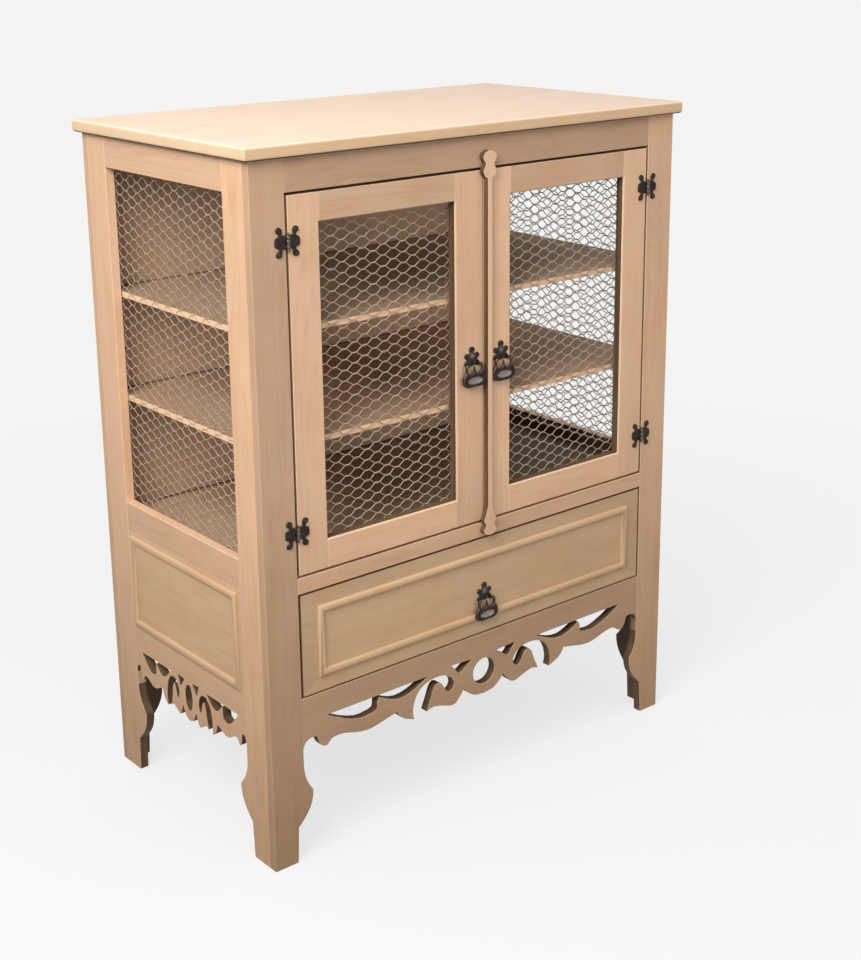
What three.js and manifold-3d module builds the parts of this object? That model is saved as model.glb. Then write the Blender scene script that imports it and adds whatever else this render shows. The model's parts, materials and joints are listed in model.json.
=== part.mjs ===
// A jelly cupboard: two wire doors over one drawer, between four shaped corner legs and fretted aprons.
// Lengths are in millimetres. +X is the cupboard's right as seen from the front, +Y its back, +Z up.
// The origin is on the floor, in the middle of the footprint.
import * as THREE from 'three';
import { mergeVertices } from 'three/addons/utils/BufferGeometryUtils.js';
import Module from 'manifold-3d';

const wasm = await Module();
wasm.setup();

// The case, floor upwards
const CASE_WIDTH = 1108;
const CASE_DEPTH = 616;
const BOARD = 20;
const STILE_WIDTH = 76;
const SIDE_STILE_WIDTH = 69;
const APRON_TOP_Z = 355;
const DRAWER_BAY_HEIGHT = 222;
const MID_RAIL_HEIGHT = 33;
const DOOR_BAY_HEIGHT = 750;
const TOP_RAIL_HEIGHT = 64;
const SIDE_LEDGE_HEIGHT = 66;
const BACK_RAIL_DROP = 93;
const BACK_PANEL_THICK = 8;

// The top board
const TOP_THICK = 26;
const TOP_LIP = 14;
const TOP_ROUND = 6;
const TOP_ROUND_STEPS = 3;

// The shaped leg, cut on the lower end of every stile
const FOOT_WIDTH = 55;
const ANKLE_WIDTH = 59;
const ANKLE_Z = 78;
const KNEE_WIDTH = 97;
const KNEE_Z = 150;
const WAIST_Z = 215;
const LEG_CURVE_STEPS = 7;

// The fretwork of the aprons
const FRET_BOTTOM_Z = 213;
const FRET_HEIGHT = 89;
const RING_STEPS = 20;
const STEPS_PER_POINT = 2;

// Doors
const DOOR_GAP = 5.5;
const MEETING_GAP = 2.5;
const DOOR_STILE_WIDTH = 70;
const MEETING_STILE_WIDTH = 73;
const DOOR_TOP_RAIL = 56;
const DOOR_BOTTOM_RAIL = 60;
const STICKING_WIDTH = 2.5;
const STICKING_DEPTH = 2.5;

// The strip on the right door's meeting edge, with a finial past each end of the door
const STRIP_WIDTH = 11;
const STRIP_THICK = 14;
const STRIP_CLEARANCE = 1;
const FINIAL_REACH_UP = 40;
const FINIAL_REACH_DOWN = 33;
const FINIAL_HALF = 17.5;

// Hexagonal wire
const WIRE_THICK = 1.25;
const NET_LAP = 10;
const DOOR_CELL = 62;
const SIDE_CELL = 74;
const STRAND = 2.5;
const SMALLEST_GAP_SHARE = 0.12;

// Shelves and floor
const SHELF_THICK = 12;
const SHELF_TOPS_Z = [877, 1100];
const SHELF_SETBACK = 6;
const SHELF_SIDE_CLEARANCE = 0.5;
const HOUSING_DEPTH = 5.5;
const HOUSING_SLACK = 0.5;
const TAB_SEAT = 5;
const TAB_CLEARANCE = 2;
const FLOOR_THICK = 18;
const FLOOR_TOP_Z = 608;

// Drawer
const DRAWER_GAP = 4.5;
const DRAWER_SIDE_THICK = 12;
const DRAWER_SIDE_HEIGHT = 168;
const DRAWER_SIDE_INSET = 0.5;
const DRAWER_LENGTH = 520;
const DRAWER_BOTTOM_THICK = 5;
const DRAWER_BOTTOM_LIFT = 10;
const GROOVE_DEPTH = 5;
const GROOVE_SLACK = 0.5;
const RUNNER_LEDGE = 36;
const RUNNER_THICK = 16;
const RUNNER_GUIDE_HEIGHT = 84;
const RUNNING_CLEARANCE = 0.25;
const GUIDE_CLEARANCE = 2;

// Half-round mouldings, planted on the drawer front and the side panels
const MOULDING_WIDTH = 16;
const MOULDING_HEIGHT = 6.5;
const MOULDING_QUIRK = 1.5;
const MOULDING_STEPS = 6;
const DRAWER_MOULDING_INSET_X = 38;
const DRAWER_MOULDING_INSET_Z = 30.5;
const PANEL_MOULDING_INSET_Y = 12;
const PANEL_MOULDING_INSET_Z = 7;

// Hinges
const LEAF_REACH = 28;
const LEAF_HALF = 28.5;
const LEAF_THICK = 2.5;
const HINGE_INSET_TOP = 84.5;
const HINGE_INSET_BOTTOM = 88.5;
const BARREL_RADIUS = 4;
const BARREL_LIFT = 4.5;
const BARREL_HALF = 13;
const KNUCKLE_HALF = 4.75;
const KNUCKLE_CLEARANCE = 0.25;
const HINGE_PIN_RADIUS = 1.5;
const HINGE_BALL_RADIUS = 3;
const WEB_THICK = 2;
const BARREL_SEGMENTS = 10;

// Drop pulls
const PULL_HALF_WIDTH = 20.5;
const PULL_ABOVE = 37;
const PLATE_THICK = 3;
const EAR_THICK = 3;
const EAR_RADIUS = 3.3;
const EAR_X = 15.5;
const PIVOT_LIFT = 10.5;
const BAIL_THICK = 5;
const BAIL_DROP = 46;
const BAIL_HALF_WIDTH = 31;
const BAIL_PIN_RADIUS = 1.5;
const BAIL_EYE_RADIUS = 1;
const PULL_Z = 960;
const DRAWER_PULL_Z = 436;
const PULL_INSET_LEFT = 31.25;
const PULL_INSET_RIGHT = 45.75;
const EAR_SEGMENTS = 10;

// A turning pin's play in its bore, and the overrun of cutters and joins past the faces that they meet
const PIN_PLAY = 0.35;
const OVERRUN = 1;

// Derived places
const HALF_WIDTH = CASE_WIDTH / 2;
const FRONT_Y = -CASE_DEPTH / 2;
const BACK_Y = CASE_DEPTH / 2;
const DRAWER_BAY_TOP_Z = APRON_TOP_Z + DRAWER_BAY_HEIGHT;
const DOOR_BAY_Z = DRAWER_BAY_TOP_Z + MID_RAIL_HEIGHT;
const DOOR_BAY_TOP_Z = DOOR_BAY_Z + DOOR_BAY_HEIGHT;
const CASE_TOP_Z = DOOR_BAY_TOP_Z + TOP_RAIL_HEIGHT;
const SIDE_LEDGE_Z = DRAWER_BAY_TOP_Z + SIDE_LEDGE_HEIGHT;
const BAY_HALF = HALF_WIDTH - STILE_WIDTH;
const SIDE_HALF = CASE_DEPTH / 2 - BOARD - SIDE_STILE_WIDTH;
const INNER_HALF = HALF_WIDTH - BOARD;
const INNER_FRONT_Y = FRONT_Y + BOARD;
const INNER_BACK_Y = BACK_Y - BOARD - BACK_PANEL_THICK;
const HINGE_X = BAY_HALF - DOOR_GAP / 2;
const HINGE_Y = FRONT_Y - BARREL_LIFT;
const DOOR_WIDTH = BAY_HALF - DOOR_GAP - MEETING_GAP / 2;
const DOOR_Z = DOOR_BAY_Z + DOOR_GAP;
const DOOR_TOP_Z = DOOR_BAY_TOP_Z - DOOR_GAP;
const DRAWER_HALF = BAY_HALF - DOOR_GAP;
const DRAWER_Z = APRON_TOP_Z + DRAWER_GAP;
const DRAWER_TOP_Z = DRAWER_BAY_TOP_Z - DRAWER_GAP;

// Materials
const pine = new THREE.MeshStandardMaterial({ color: 0xc9a583, roughness: 0.72, metalness: 0 });
const paleTop = new THREE.MeshStandardMaterial({ color: 0xe2c39c, roughness: 0.65, metalness: 0 });
const innerPine = new THREE.MeshStandardMaterial({ color: 0x8a6848, roughness: 0.8, metalness: 0 });
const iron = new THREE.MeshStandardMaterial({ color: 0x2a1c14, roughness: 0.45, metalness: 0.8 });
const zincWire = new THREE.MeshStandardMaterial({ color: 0x9c9184, roughness: 0.4, metalness: 0.9 });

// An outline drawn in (u, v) and extruded along w becomes a board that faces the front or the side
const TO_FRONT = new THREE.Matrix4().set(1, 0, 0, 0, 0, 0, -1, 0, 0, 1, 0, 0, 0, 0, 0, 1);
const TO_SIDE = new THREE.Matrix4().set(0, 0, 1, 0, 1, 0, 0, 0, 0, 1, 0, 0, 0, 0, 0, 1);

function extrude(shape, thick) {
  return new THREE.ExtrudeGeometry(shape, { depth: thick, bevelEnabled: false, steps: 1 });
}

// A board whose outline is in x and z, and whose back face is at backY
function frontBoard(shape, thick, backY) {
  return extrude(shape, thick).applyMatrix4(TO_FRONT).translate(0, backY, 0);
}

// A board whose outline is in y and z, and whose low face is at lowX
function sideBoard(shape, thick, lowX) {
  return extrude(shape, thick).applyMatrix4(TO_SIDE).translate(lowX, 0, 0);
}

function flatBoard(shape, thick, lowZ) {
  return extrude(shape, thick).translate(0, 0, lowZ);
}

function polygon(points) {
  return new THREE.Shape(points.map(([u, v]) => new THREE.Vector2(u, v)));
}

function rectangle(u0, v0, u1, v1) {
  return polygon([[u0, v0], [u1, v0], [u1, v1], [u0, v1]]);
}

function block(x0, y0, z0, x1, y1, z1) {
  return flatBoard(rectangle(x0, y0, x1, y1), z1 - z0, z0);
}

// Mirrors a geometry in x and turns its faces out again
function mirrorX(geometry) {
  const flipped = geometry.index ? geometry.toNonIndexed() : geometry.clone();
  flipped.scale(-1, 1, 1);
  const position = flipped.attributes.position;
  const a = new THREE.Vector3();
  const b = new THREE.Vector3();
  for (let i = 0; i < position.count; i += 3) {
    a.fromBufferAttribute(position, i + 1);
    b.fromBufferAttribute(position, i + 2);
    position.setXYZ(i + 1, b.x, b.y, b.z);
    position.setXYZ(i + 2, a.x, a.y, a.z);
  }
  flipped.computeVertexNormals();
  return flipped;
}

function toSolid(geometry) {
  const bare = geometry.clone();
  bare.deleteAttribute('normal');
  bare.deleteAttribute('uv');
  const merged = mergeVertices(bare);
  const index = Array.from(merged.index.array);
  const kept = [];
  for (let i = 0; i < index.length; i += 3) {
    const [a, b, c] = index.slice(i, i + 3);
    if (a !== b && b !== c && c !== a) {
      kept.push(a, b, c);
    }
  }
  return new wasm.Manifold(new wasm.Mesh({
    numProp: 3,
    vertProperties: new Float32Array(merged.attributes.position.array),
    triVerts: new Uint32Array(kept),
  }));
}

function toGeometry(solid) {
  const mesh = solid.getMesh();
  const geometry = new THREE.BufferGeometry();
  geometry.setAttribute('position', new THREE.BufferAttribute(mesh.vertProperties, 3));
  geometry.setIndex(new THREE.BufferAttribute(mesh.triVerts, 1));
  const flat = geometry.toNonIndexed();
  flat.computeVertexNormals();
  return flat;
}

function join(...geometries) {
  return toGeometry(geometries.map(toSolid).reduce((sum, next) => sum.add(next)));
}

function cut(body, ...cutters) {
  return toGeometry(cutters.map(toSolid).reduce((left, cutter) => left.subtract(cutter), toSolid(body)));
}

const cupboard = new THREE.Group();

function addPiece(parent, name, geometry, material) {
  const mesh = new THREE.Mesh(geometry, material);
  mesh.name = name;
  parent.add(mesh);
}

// Adds a left piece and its mirror image on the right
function addPair(parent, name, geometry, material) {
  addPiece(parent, `${name}_left`, geometry, material);
  addPiece(parent, `${name}_right`, mirrorX(geometry), material);
}

// A moving body, drawn about its own pivot
function addBody(parent, name, x, y, z) {
  const body = new THREE.Group();
  body.name = name;
  body.position.set(x, y, z);
  parent.add(body);
  return body;
}

// Smooth points through a run of shares; each run ends in a sharp corner
function smoothRun(shares, toPoint) {
  const curve = new THREE.SplineCurve(shares.map(toPoint));
  return curve.getPoints((shares.length - 1) * STEPS_PER_POINT);
}

// Fretwork, as shares of the half span from the middle and of the fret's height from its lowest edge
const archRunShares = [
  [1, 0.37], [0.987, 0.52], [0.958, 0.585], [0.929, 0.565], [0.922, 0.46], [0.908, 0.31], [0.881, 0.25],
  [0.86, 0.34], [0.839, 0.393], [0.787, 0.382], [0.73, 0.292], [0.667, 0.236], [0.607, 0.27], [0.552, 0.337],
  [0.502, 0.39],
];
const leafRunShares = [[0.502, 0.39], [0.485, 0.24], [0.452, 0.12], [0.406, 0.03]];
const hookRunShares = [
  [0.406, 0.03], [0.414, 0.21], [0.406, 0.46], [0.381, 0.7], [0.337, 0.845], [0.28, 0.895], [0.224, 0.845],
  [0.188, 0.7], [0.178, 0.54], [0.195, 0.41], [0.219, 0.425], [0.233, 0.545], [0.251, 0.685], [0.274, 0.73],
  [0.295, 0.64], [0.312, 0.41], [0.337, 0.1],
];
const scrollRunShares = [[0.337, 0.1], [0.295, 0.157], [0.238, 0.079], [0.188, 0], [0.155, 0.079], [0.119, 0.315]];
const ringRunShares = [[0.119, 0.315], [0.096, 0.18], [0.054, 0.034], [0, 0]];
const commaShares = [[0.192, 1.045], [0.167, 0.9], [0.146, 0.775], [0.103, 0.91], [0.073, 1.011], [0.13, 1.03]];
const slitOuterRunShares = [
  [0.874, 1], [0.787, 0.753], [0.709, 0.607], [0.657, 0.607], [0.613, 0.663], [0.609, 0.843], [0.598, 0.944],
];
const slitInnerRunShares = [[0.598, 0.944], [0.548, 0.809], [0.49, 0.719], [0.427, 0.764], [0.374, 0.876], [0.326, 1]];
const ringHeightShare = 0.596;
const ringRadiusShares = [0.065, 0.337];

// An apron between two stiles: its lower edge and its piercings mirror about the middle
function apronShape(half) {
  const place = (sign) => ([s, t]) => new THREE.Vector2(sign * s * half, FRET_BOTTOM_Z + t * FRET_HEIGHT);
  const edge = [archRunShares, leafRunShares, hookRunShares, scrollRunShares, ringRunShares]
    .flatMap((run) => smoothRun(run, place(-1)).slice(0, -1));
  const middle = new THREE.Vector2(0, FRET_BOTTOM_Z);
  const mirrored = edge.map((p) => new THREE.Vector2(-p.x, p.y)).reverse();
  const shape = new THREE.Shape([
    new THREE.Vector2(-half, APRON_TOP_Z), ...edge, middle, ...mirrored, new THREE.Vector2(half, APRON_TOP_Z),
  ]);
  for (const sign of [-1, 1]) {
    const slit = [
      ...smoothRun(slitOuterRunShares, place(sign)).slice(0, -1),
      ...smoothRun(slitInnerRunShares, place(sign)),
    ];
    const comma = smoothRun([...commaShares, commaShares[0]], place(sign)).slice(0, -1);
    shape.holes.push(new THREE.Path(slit), new THREE.Path(comma));
  }
  const ring = new THREE.EllipseCurve(
    0, FRET_BOTTOM_Z + ringHeightShare * FRET_HEIGHT,
    ringRadiusShares[0] * half, ringRadiusShares[1] * FRET_HEIGHT,
  );
  shape.holes.push(new THREE.Path(ring.getPoints(RING_STEPS).slice(0, -1)));
  return shape;
}

// A stile with the shaped leg at its lower end, from its corner edge at u = corner inwards along sign
function stileShape(width, corner, sign) {
  const calf = new THREE.CubicBezierCurve(
    new THREE.Vector2(ANKLE_WIDTH, ANKLE_Z),
    new THREE.Vector2((ANKLE_WIDTH + KNEE_WIDTH) / 2, (ANKLE_Z * 3 + KNEE_Z) / 4),
    new THREE.Vector2(KNEE_WIDTH, (ANKLE_Z + KNEE_Z) / 2),
    new THREE.Vector2(KNEE_WIDTH, KNEE_Z),
  );
  const thigh = new THREE.CubicBezierCurve(
    new THREE.Vector2(KNEE_WIDTH, KNEE_Z),
    new THREE.Vector2((width + KNEE_WIDTH) / 2, (KNEE_Z * 3 + WAIST_Z) / 4),
    new THREE.Vector2(width, (KNEE_Z + WAIST_Z) / 2),
    new THREE.Vector2(width, WAIST_Z),
  );
  const outline = [
    new THREE.Vector2(0, 0), new THREE.Vector2(FOOT_WIDTH, 0),
    ...calf.getPoints(LEG_CURVE_STEPS), ...thigh.getPoints(LEG_CURVE_STEPS).slice(1),
    new THREE.Vector2(width, CASE_TOP_Z), new THREE.Vector2(0, CASE_TOP_Z),
  ];
  return new THREE.Shape(outline.map((p) => new THREE.Vector2(corner + sign * p.x, p.y)));
}

// Front and back frames
const cornerStile = stileShape(STILE_WIDTH, -HALF_WIDTH, 1);
addPair(cupboard, 'front_stile', frontBoard(cornerStile, BOARD, INNER_FRONT_Y), pine);
addPair(cupboard, 'back_stile', frontBoard(cornerStile, BOARD, BACK_Y), pine);

function addRail(name, z0, z1, backY) {
  addPiece(cupboard, name, frontBoard(rectangle(-BAY_HALF, z0, BAY_HALF, z1), BOARD, backY), pine);
}

addRail('front_top_rail', DOOR_BAY_TOP_Z, CASE_TOP_Z, INNER_FRONT_Y);
addRail('front_mid_rail', DRAWER_BAY_TOP_Z, DOOR_BAY_Z, INNER_FRONT_Y);
addRail('back_top_rail', DOOR_BAY_TOP_Z, CASE_TOP_Z, BACK_Y);
addRail('back_bottom_rail', APRON_TOP_Z - BACK_RAIL_DROP, APRON_TOP_Z, BACK_Y);
addPiece(cupboard, 'front_apron', frontBoard(apronShape(BAY_HALF), BOARD, INNER_FRONT_Y), pine);
const backPanel = rectangle(-INNER_HALF, APRON_TOP_Z - BACK_RAIL_DROP, INNER_HALF, CASE_TOP_Z);
addPiece(cupboard, 'back_panel', frontBoard(backPanel, BACK_PANEL_THICK, BACK_Y - BOARD), innerPine);

// Side frames; their stiles are housed on the inside for the shelves' corners
const shelfFrontY = INNER_FRONT_Y + SHELF_SETBACK;
const tabFrontY = INNER_FRONT_Y + SIDE_STILE_WIDTH - NET_LAP - TAB_CLEARANCE;
const tabBackY = BACK_Y - BOARD - SIDE_STILE_WIDTH + NET_LAP + TAB_CLEARANCE;

function shelfHousings(y0, y1) {
  return SHELF_TOPS_Z.map((top) => block(
    -INNER_HALF - HOUSING_DEPTH, y0 - HOUSING_SLACK, top - SHELF_THICK,
    -INNER_HALF + OVERRUN, y1 + HOUSING_SLACK, top + HOUSING_SLACK,
  ));
}

const frontSideStile = sideBoard(stileShape(SIDE_STILE_WIDTH, INNER_FRONT_Y, 1), BOARD, -HALF_WIDTH);
const rearSideStile = sideBoard(stileShape(SIDE_STILE_WIDTH, BACK_Y - BOARD, -1), BOARD, -HALF_WIDTH);
const frontHousings = shelfHousings(shelfFrontY, tabFrontY);
const rearHousings = shelfHousings(tabBackY, INNER_BACK_Y);
addPair(cupboard, 'side_front_stile', cut(frontSideStile, ...frontHousings), pine);
addPair(cupboard, 'side_rear_stile', cut(rearSideStile, ...rearHousings), pine);

function sideRail(z0, z1) {
  return sideBoard(rectangle(-SIDE_HALF, z0, SIDE_HALF, z1), BOARD, -HALF_WIDTH);
}

addPair(cupboard, 'side_top_rail', sideRail(DOOR_BAY_TOP_Z, CASE_TOP_Z), pine);
addPair(cupboard, 'side_mid_rail', sideRail(DRAWER_BAY_TOP_Z, SIDE_LEDGE_Z), pine);
addPair(cupboard, 'side_apron', sideBoard(apronShape(SIDE_HALF), BOARD, -HALF_WIDTH), pine);

// A half-round moulding round a rectangle, mitred at its corners, drawn flat and standing up along w
function mouldingFrame(u0, v0, u1, v1) {
  const profile = [[0, -OVERRUN], [0, MOULDING_QUIRK]];
  for (let i = 1; i <= MOULDING_STEPS; i += 1) {
    const angle = Math.PI * (1 - i / (MOULDING_STEPS + 1));
    const across = (1 + Math.cos(angle)) * MOULDING_WIDTH / 2;
    profile.push([across, MOULDING_QUIRK + Math.sin(angle) * (MOULDING_HEIGHT - MOULDING_QUIRK)]);
  }
  profile.push([MOULDING_WIDTH, MOULDING_QUIRK], [MOULDING_WIDTH, -OVERRUN]);
  const corners = [[u0, v0, 1, 1], [u1, v0, -1, 1], [u1, v1, -1, -1], [u0, v1, 1, -1]];
  const vertices = corners.flatMap(([u, v, du, dv]) => profile.flatMap(([d, h]) => [u + du * d, v + dv * d, h]));
  const index = [];
  const n = profile.length;
  for (let c = 0; c < corners.length; c += 1) {
    const next = (c + 1) % corners.length;
    for (let i = 0; i < n; i += 1) {
      const j = (i + 1) % n;
      index.push(c * n + i, next * n + i, c * n + j);
      index.push(c * n + j, next * n + i, next * n + j);
    }
  }
  const geometry = new THREE.BufferGeometry();
  geometry.setAttribute('position', new THREE.Float32BufferAttribute(vertices, 3));
  geometry.setIndex(index);
  return geometry;
}

// Side panels with a planted moulding on their outer face
const panelMoulding = mouldingFrame(
  -SIDE_HALF + PANEL_MOULDING_INSET_Y, APRON_TOP_Z + PANEL_MOULDING_INSET_Z,
  SIDE_HALF - PANEL_MOULDING_INSET_Y, DRAWER_BAY_TOP_Z - PANEL_MOULDING_INSET_Z,
).applyMatrix4(TO_SIDE).translate(HALF_WIDTH, 0, 0);
const rightPanel = join(mirrorX(sideRail(APRON_TOP_Z, DRAWER_BAY_TOP_Z)), panelMoulding);
addPair(cupboard, 'side_panel', mirrorX(rightPanel), pine);

// The top board, rounded over on both arrises
const topHalfX = HALF_WIDTH + TOP_LIP;
const topHalfY = CASE_DEPTH / 2 + TOP_LIP;
const topBoard = new THREE.ExtrudeGeometry(rectangle(-topHalfX, -topHalfY, topHalfX, topHalfY), {
  depth: TOP_THICK - 2 * TOP_ROUND,
  bevelEnabled: true,
  bevelThickness: TOP_ROUND,
  bevelSize: TOP_ROUND,
  bevelOffset: -TOP_ROUND,
  bevelSegments: TOP_ROUND_STEPS,
}).translate(0, 0, CASE_TOP_Z + TOP_ROUND);
addPiece(cupboard, 'top_board', topBoard, paleTop);

// Shelves sit in the stiles' housings by their corners; the floor fits between the frames
const shelfHalf = INNER_HALF - WIRE_THICK - SHELF_SIDE_CLEARANCE;
const tabHalf = INNER_HALF + TAB_SEAT;
const shelfOutline = polygon([
  [-tabHalf, shelfFrontY], [tabHalf, shelfFrontY], [tabHalf, tabFrontY], [shelfHalf, tabFrontY],
  [shelfHalf, tabBackY], [tabHalf, tabBackY], [tabHalf, INNER_BACK_Y], [-tabHalf, INNER_BACK_Y],
  [-tabHalf, tabBackY], [-shelfHalf, tabBackY], [-shelfHalf, tabFrontY], [-tabHalf, tabFrontY],
]);
SHELF_TOPS_Z.forEach((top, i) => {
  addPiece(cupboard, `shelf_${i + 1}`, flatBoard(shelfOutline, SHELF_THICK, top - SHELF_THICK), innerPine);
});
const floorOutline = rectangle(-INNER_HALF, INNER_FRONT_Y, INNER_HALF, INNER_BACK_Y);
const floorBoard = flatBoard(floorOutline, FLOOR_THICK, FLOOR_TOP_Z - FLOOR_THICK);
addPiece(cupboard, 'cabinet_floor', floorBoard, innerPine);

// Drawer runners: a ledge under the drawer's side and a guide beside it
const drawerSideX = DRAWER_HALF - DRAWER_SIDE_INSET;
const guideX = drawerSideX + GUIDE_CLEARANCE;
const runnerTopZ = DRAWER_Z - RUNNING_CLEARANCE;
const runnerSection = polygon([
  [-drawerSideX + RUNNER_LEDGE, runnerTopZ - RUNNER_THICK], [-drawerSideX + RUNNER_LEDGE, runnerTopZ],
  [-guideX, runnerTopZ], [-guideX, runnerTopZ + RUNNER_GUIDE_HEIGHT],
  [-INNER_HALF, runnerTopZ + RUNNER_GUIDE_HEIGHT], [-INNER_HALF, runnerTopZ - RUNNER_THICK],
]);
addPair(cupboard, 'drawer_runner', frontBoard(runnerSection, INNER_BACK_Y - INNER_FRONT_Y, INNER_BACK_Y), innerPine);

// One pass of polygon clipping: keeps the side that is inside, and adds the points that meet the edge
function clipSide(points, inside, meet) {
  return points.flatMap((p, i) => {
    const q = points[(i + 1) % points.length];
    const kept = inside(p) ? [p] : [];
    return inside(p) === inside(q) ? kept : [...kept, meet(p, q)];
  });
}

function clipToRectangle(points, width, height) {
  const at = (axis, limit) => (p, q) => {
    const t = (limit - p[axis]) / (q[axis] - p[axis]);
    const point = [p[0] + (q[0] - p[0]) * t, p[1] + (q[1] - p[1]) * t];
    point[axis] = limit;
    return point;
  };
  let left = clipSide(points, (p) => p[0] >= 0, at(0, 0));
  left = clipSide(left, (p) => p[0] <= width, at(0, width));
  left = clipSide(left, (p) => p[1] >= 0, at(1, 0));
  return clipSide(left, (p) => p[1] <= height, at(1, height));
}

// Hexagonal wire over an opening, as a thin pierced sheet whose rim laps the frame round it
function netShape(u0, v0, width, height, cell) {
  const shape = rectangle(u0 - NET_LAP, v0 - NET_LAP, u0 + width + NET_LAP, v0 + height + NET_LAP);
  const columns = Math.round(width / cell);
  const pitch = width / columns;
  const rows = Math.round(height / (pitch * Math.sqrt(3) / 2));
  const rise = height / rows;
  const stretch = rise / (pitch * Math.sqrt(3) / 2);
  const radius = (pitch - STRAND) / Math.sqrt(3);
  for (let row = 0; row < rows; row += 1) {
    const odd = row % 2;
    for (let column = 0; column < columns + odd; column += 1) {
      const hexagon = [];
      for (let k = 0; k < 6; k += 1) {
        const angle = Math.PI / 6 + k * Math.PI / 3;
        hexagon.push([
          (column + (1 - odd) / 2) * pitch + radius * Math.cos(angle),
          (row + 1 / 2) * rise + radius * stretch * Math.sin(angle),
        ]);
      }
      const gap = clipToRectangle(hexagon, width, height).map(([u, v]) => new THREE.Vector2(u + u0, v + v0));
      if (Math.abs(THREE.ShapeUtils.area(gap)) > SMALLEST_GAP_SHARE * pitch * rise) {
        shape.holes.push(new THREE.Path(gap));
      }
    }
  }
  return shape;
}

const sideNet = netShape(-SIDE_HALF, SIDE_LEDGE_Z, SIDE_HALF * 2, DOOR_BAY_TOP_Z - SIDE_LEDGE_Z, SIDE_CELL);
addPair(cupboard, 'side_wire', sideBoard(sideNet, WIRE_THICK, -INNER_HALF), zincWire);

// Hinges are drawn about their axis, with the leaf on the side of +X and the mounting face behind it.
// Upper half of a leaf's outline, as shares of its reach from the axis and of its half height
const leafShares = [
  [0.16, 0.42], [0.34, 0.44], [0.42, 0.6], [0.42, 0.82], [0.54, 0.96], [0.7, 1], [0.86, 0.93], [0.92, 0.78],
  [0.84, 0.62], [0.7, 0.52], [0.7, 0.42], [0.84, 0.34], [0.97, 0.26], [1, 0.1],
];
const webEndShare = 0.3;

function leafPlate() {
  const upper = leafShares.map(([s, t]) => [s * LEAF_REACH, t * LEAF_HALF]);
  const lower = upper.map(([u, v]) => [u, -v]).reverse();
  return frontBoard(polygon([...upper, ...lower]), LEAF_THICK, BARREL_LIFT);
}

function leafWeb(u0, z0, z1) {
  return frontBoard(rectangle(u0, z0, webEndShare * LEAF_REACH, z1), WEB_THICK, BARREL_LIFT - LEAF_THICK + WEB_THICK);
}

function turned(profile) {
  const points = profile.map(([r, z]) => new THREE.Vector2(r, z));
  return new THREE.LatheGeometry(points, BARREL_SEGMENTS).rotateX(Math.PI / 2);
}

// The frame's leaf carries the two end knuckles and the pin with its ball tips
function frameLeaf() {
  const gap = KNUCKLE_HALF + KNUCKLE_CLEARANCE;
  const ball = HINGE_BALL_RADIUS;
  const waist = ball * Math.SQRT1_2;
  const centre = BARREL_HALF + waist;
  const upper = [
    [HINGE_PIN_RADIUS, gap], [BARREL_RADIUS, gap], [BARREL_RADIUS, BARREL_HALF], [waist, BARREL_HALF],
    [ball, centre], [waist, centre + waist], [0, centre + ball],
  ];
  const lower = upper.map(([r, z]) => [r, -z]).reverse();
  return join(
    turned([...lower, ...upper]), leafPlate(),
    leafWeb(0, -BARREL_HALF + OVERRUN, -gap), leafWeb(0, gap, BARREL_HALF - OVERRUN),
  );
}

// The door's leaf carries the middle knuckle, bored for the pin
function doorLeaf() {
  const bore = HINGE_PIN_RADIUS + PIN_PLAY;
  const knuckle = turned([
    [bore, -KNUCKLE_HALF], [BARREL_RADIUS, -KNUCKLE_HALF], [BARREL_RADIUS, KNUCKLE_HALF], [bore, KNUCKLE_HALF],
    [bore, -KNUCKLE_HALF],
  ]);
  return join(knuckle, leafPlate(), leafWeb(bore + OVERRUN, -KNUCKLE_HALF, KNUCKLE_HALF));
}

const frameLeafOnLeft = mirrorX(frameLeaf());
const doorLeafOnLeft = doorLeaf();
const hingeLevels = { lower: DOOR_Z + HINGE_INSET_BOTTOM, upper: DOOR_TOP_Z - HINGE_INSET_TOP };
for (const [level, z] of Object.entries(hingeLevels)) {
  const leaf = frameLeafOnLeft.clone().translate(-HINGE_X, HINGE_Y, z);
  addPair(cupboard, `hinge_leaf_frame_${level}`, leaf, iron);
}

// Drop pull: a fleur-shaped plate with two ears, and a bail that swings on its own pins.
// Plate outline, right half, as shares of its half width and of its height over the pivot
const plateShares = [
  [0, -0.12], [0.24, -0.08], [0.43, -0.05], [0.62, -0.11], [0.86, -0.07], [0.98, 0.05], [0.95, 0.16], [0.78, 0.22],
  [0.55, 0.22], [0.42, 0.3], [0.4, 0.4], [0.56, 0.46], [0.78, 0.5], [0.82, 0.6], [0.7, 0.68], [0.48, 0.68],
  [0.3, 0.66], [0.24, 0.72], [0.33, 0.8], [0.36, 0.88], [0.27, 0.96], [0.12, 0.995], [0, 1],
];
// Bail outline, right half, as shares of its half width and of its drop below the pivot
const bailShares = [
  [0, -0.1], [0.07, -0.16], [0.1, -0.3], [0.2, -0.44], [0.36, -0.5], [0.5, -0.46], [0.58, -0.34], [0.62, -0.2],
  [0.615, -0.06], [0.615, 0.08], [0.72, 0.03], [0.82, -0.04], [0.8, -0.2], [0.79, -0.33], [0.86, -0.44],
  [0.97, -0.55], [1, -0.68], [0.93, -0.83], [0.7, -0.95], [0.35, -1], [0, -1],
];

function symmetric(shares, halfWidth, height) {
  const right = shares.map(([s, t]) => [s * halfWidth, t * height]);
  const left = right.slice(1, -1).map(([u, v]) => [-u, v]).reverse();
  return polygon([...right, ...left]);
}

function circle(u, v, radius, segments) {
  return new THREE.EllipseCurve(u, v, radius, radius).getPoints(segments).slice(0, -1);
}

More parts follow.
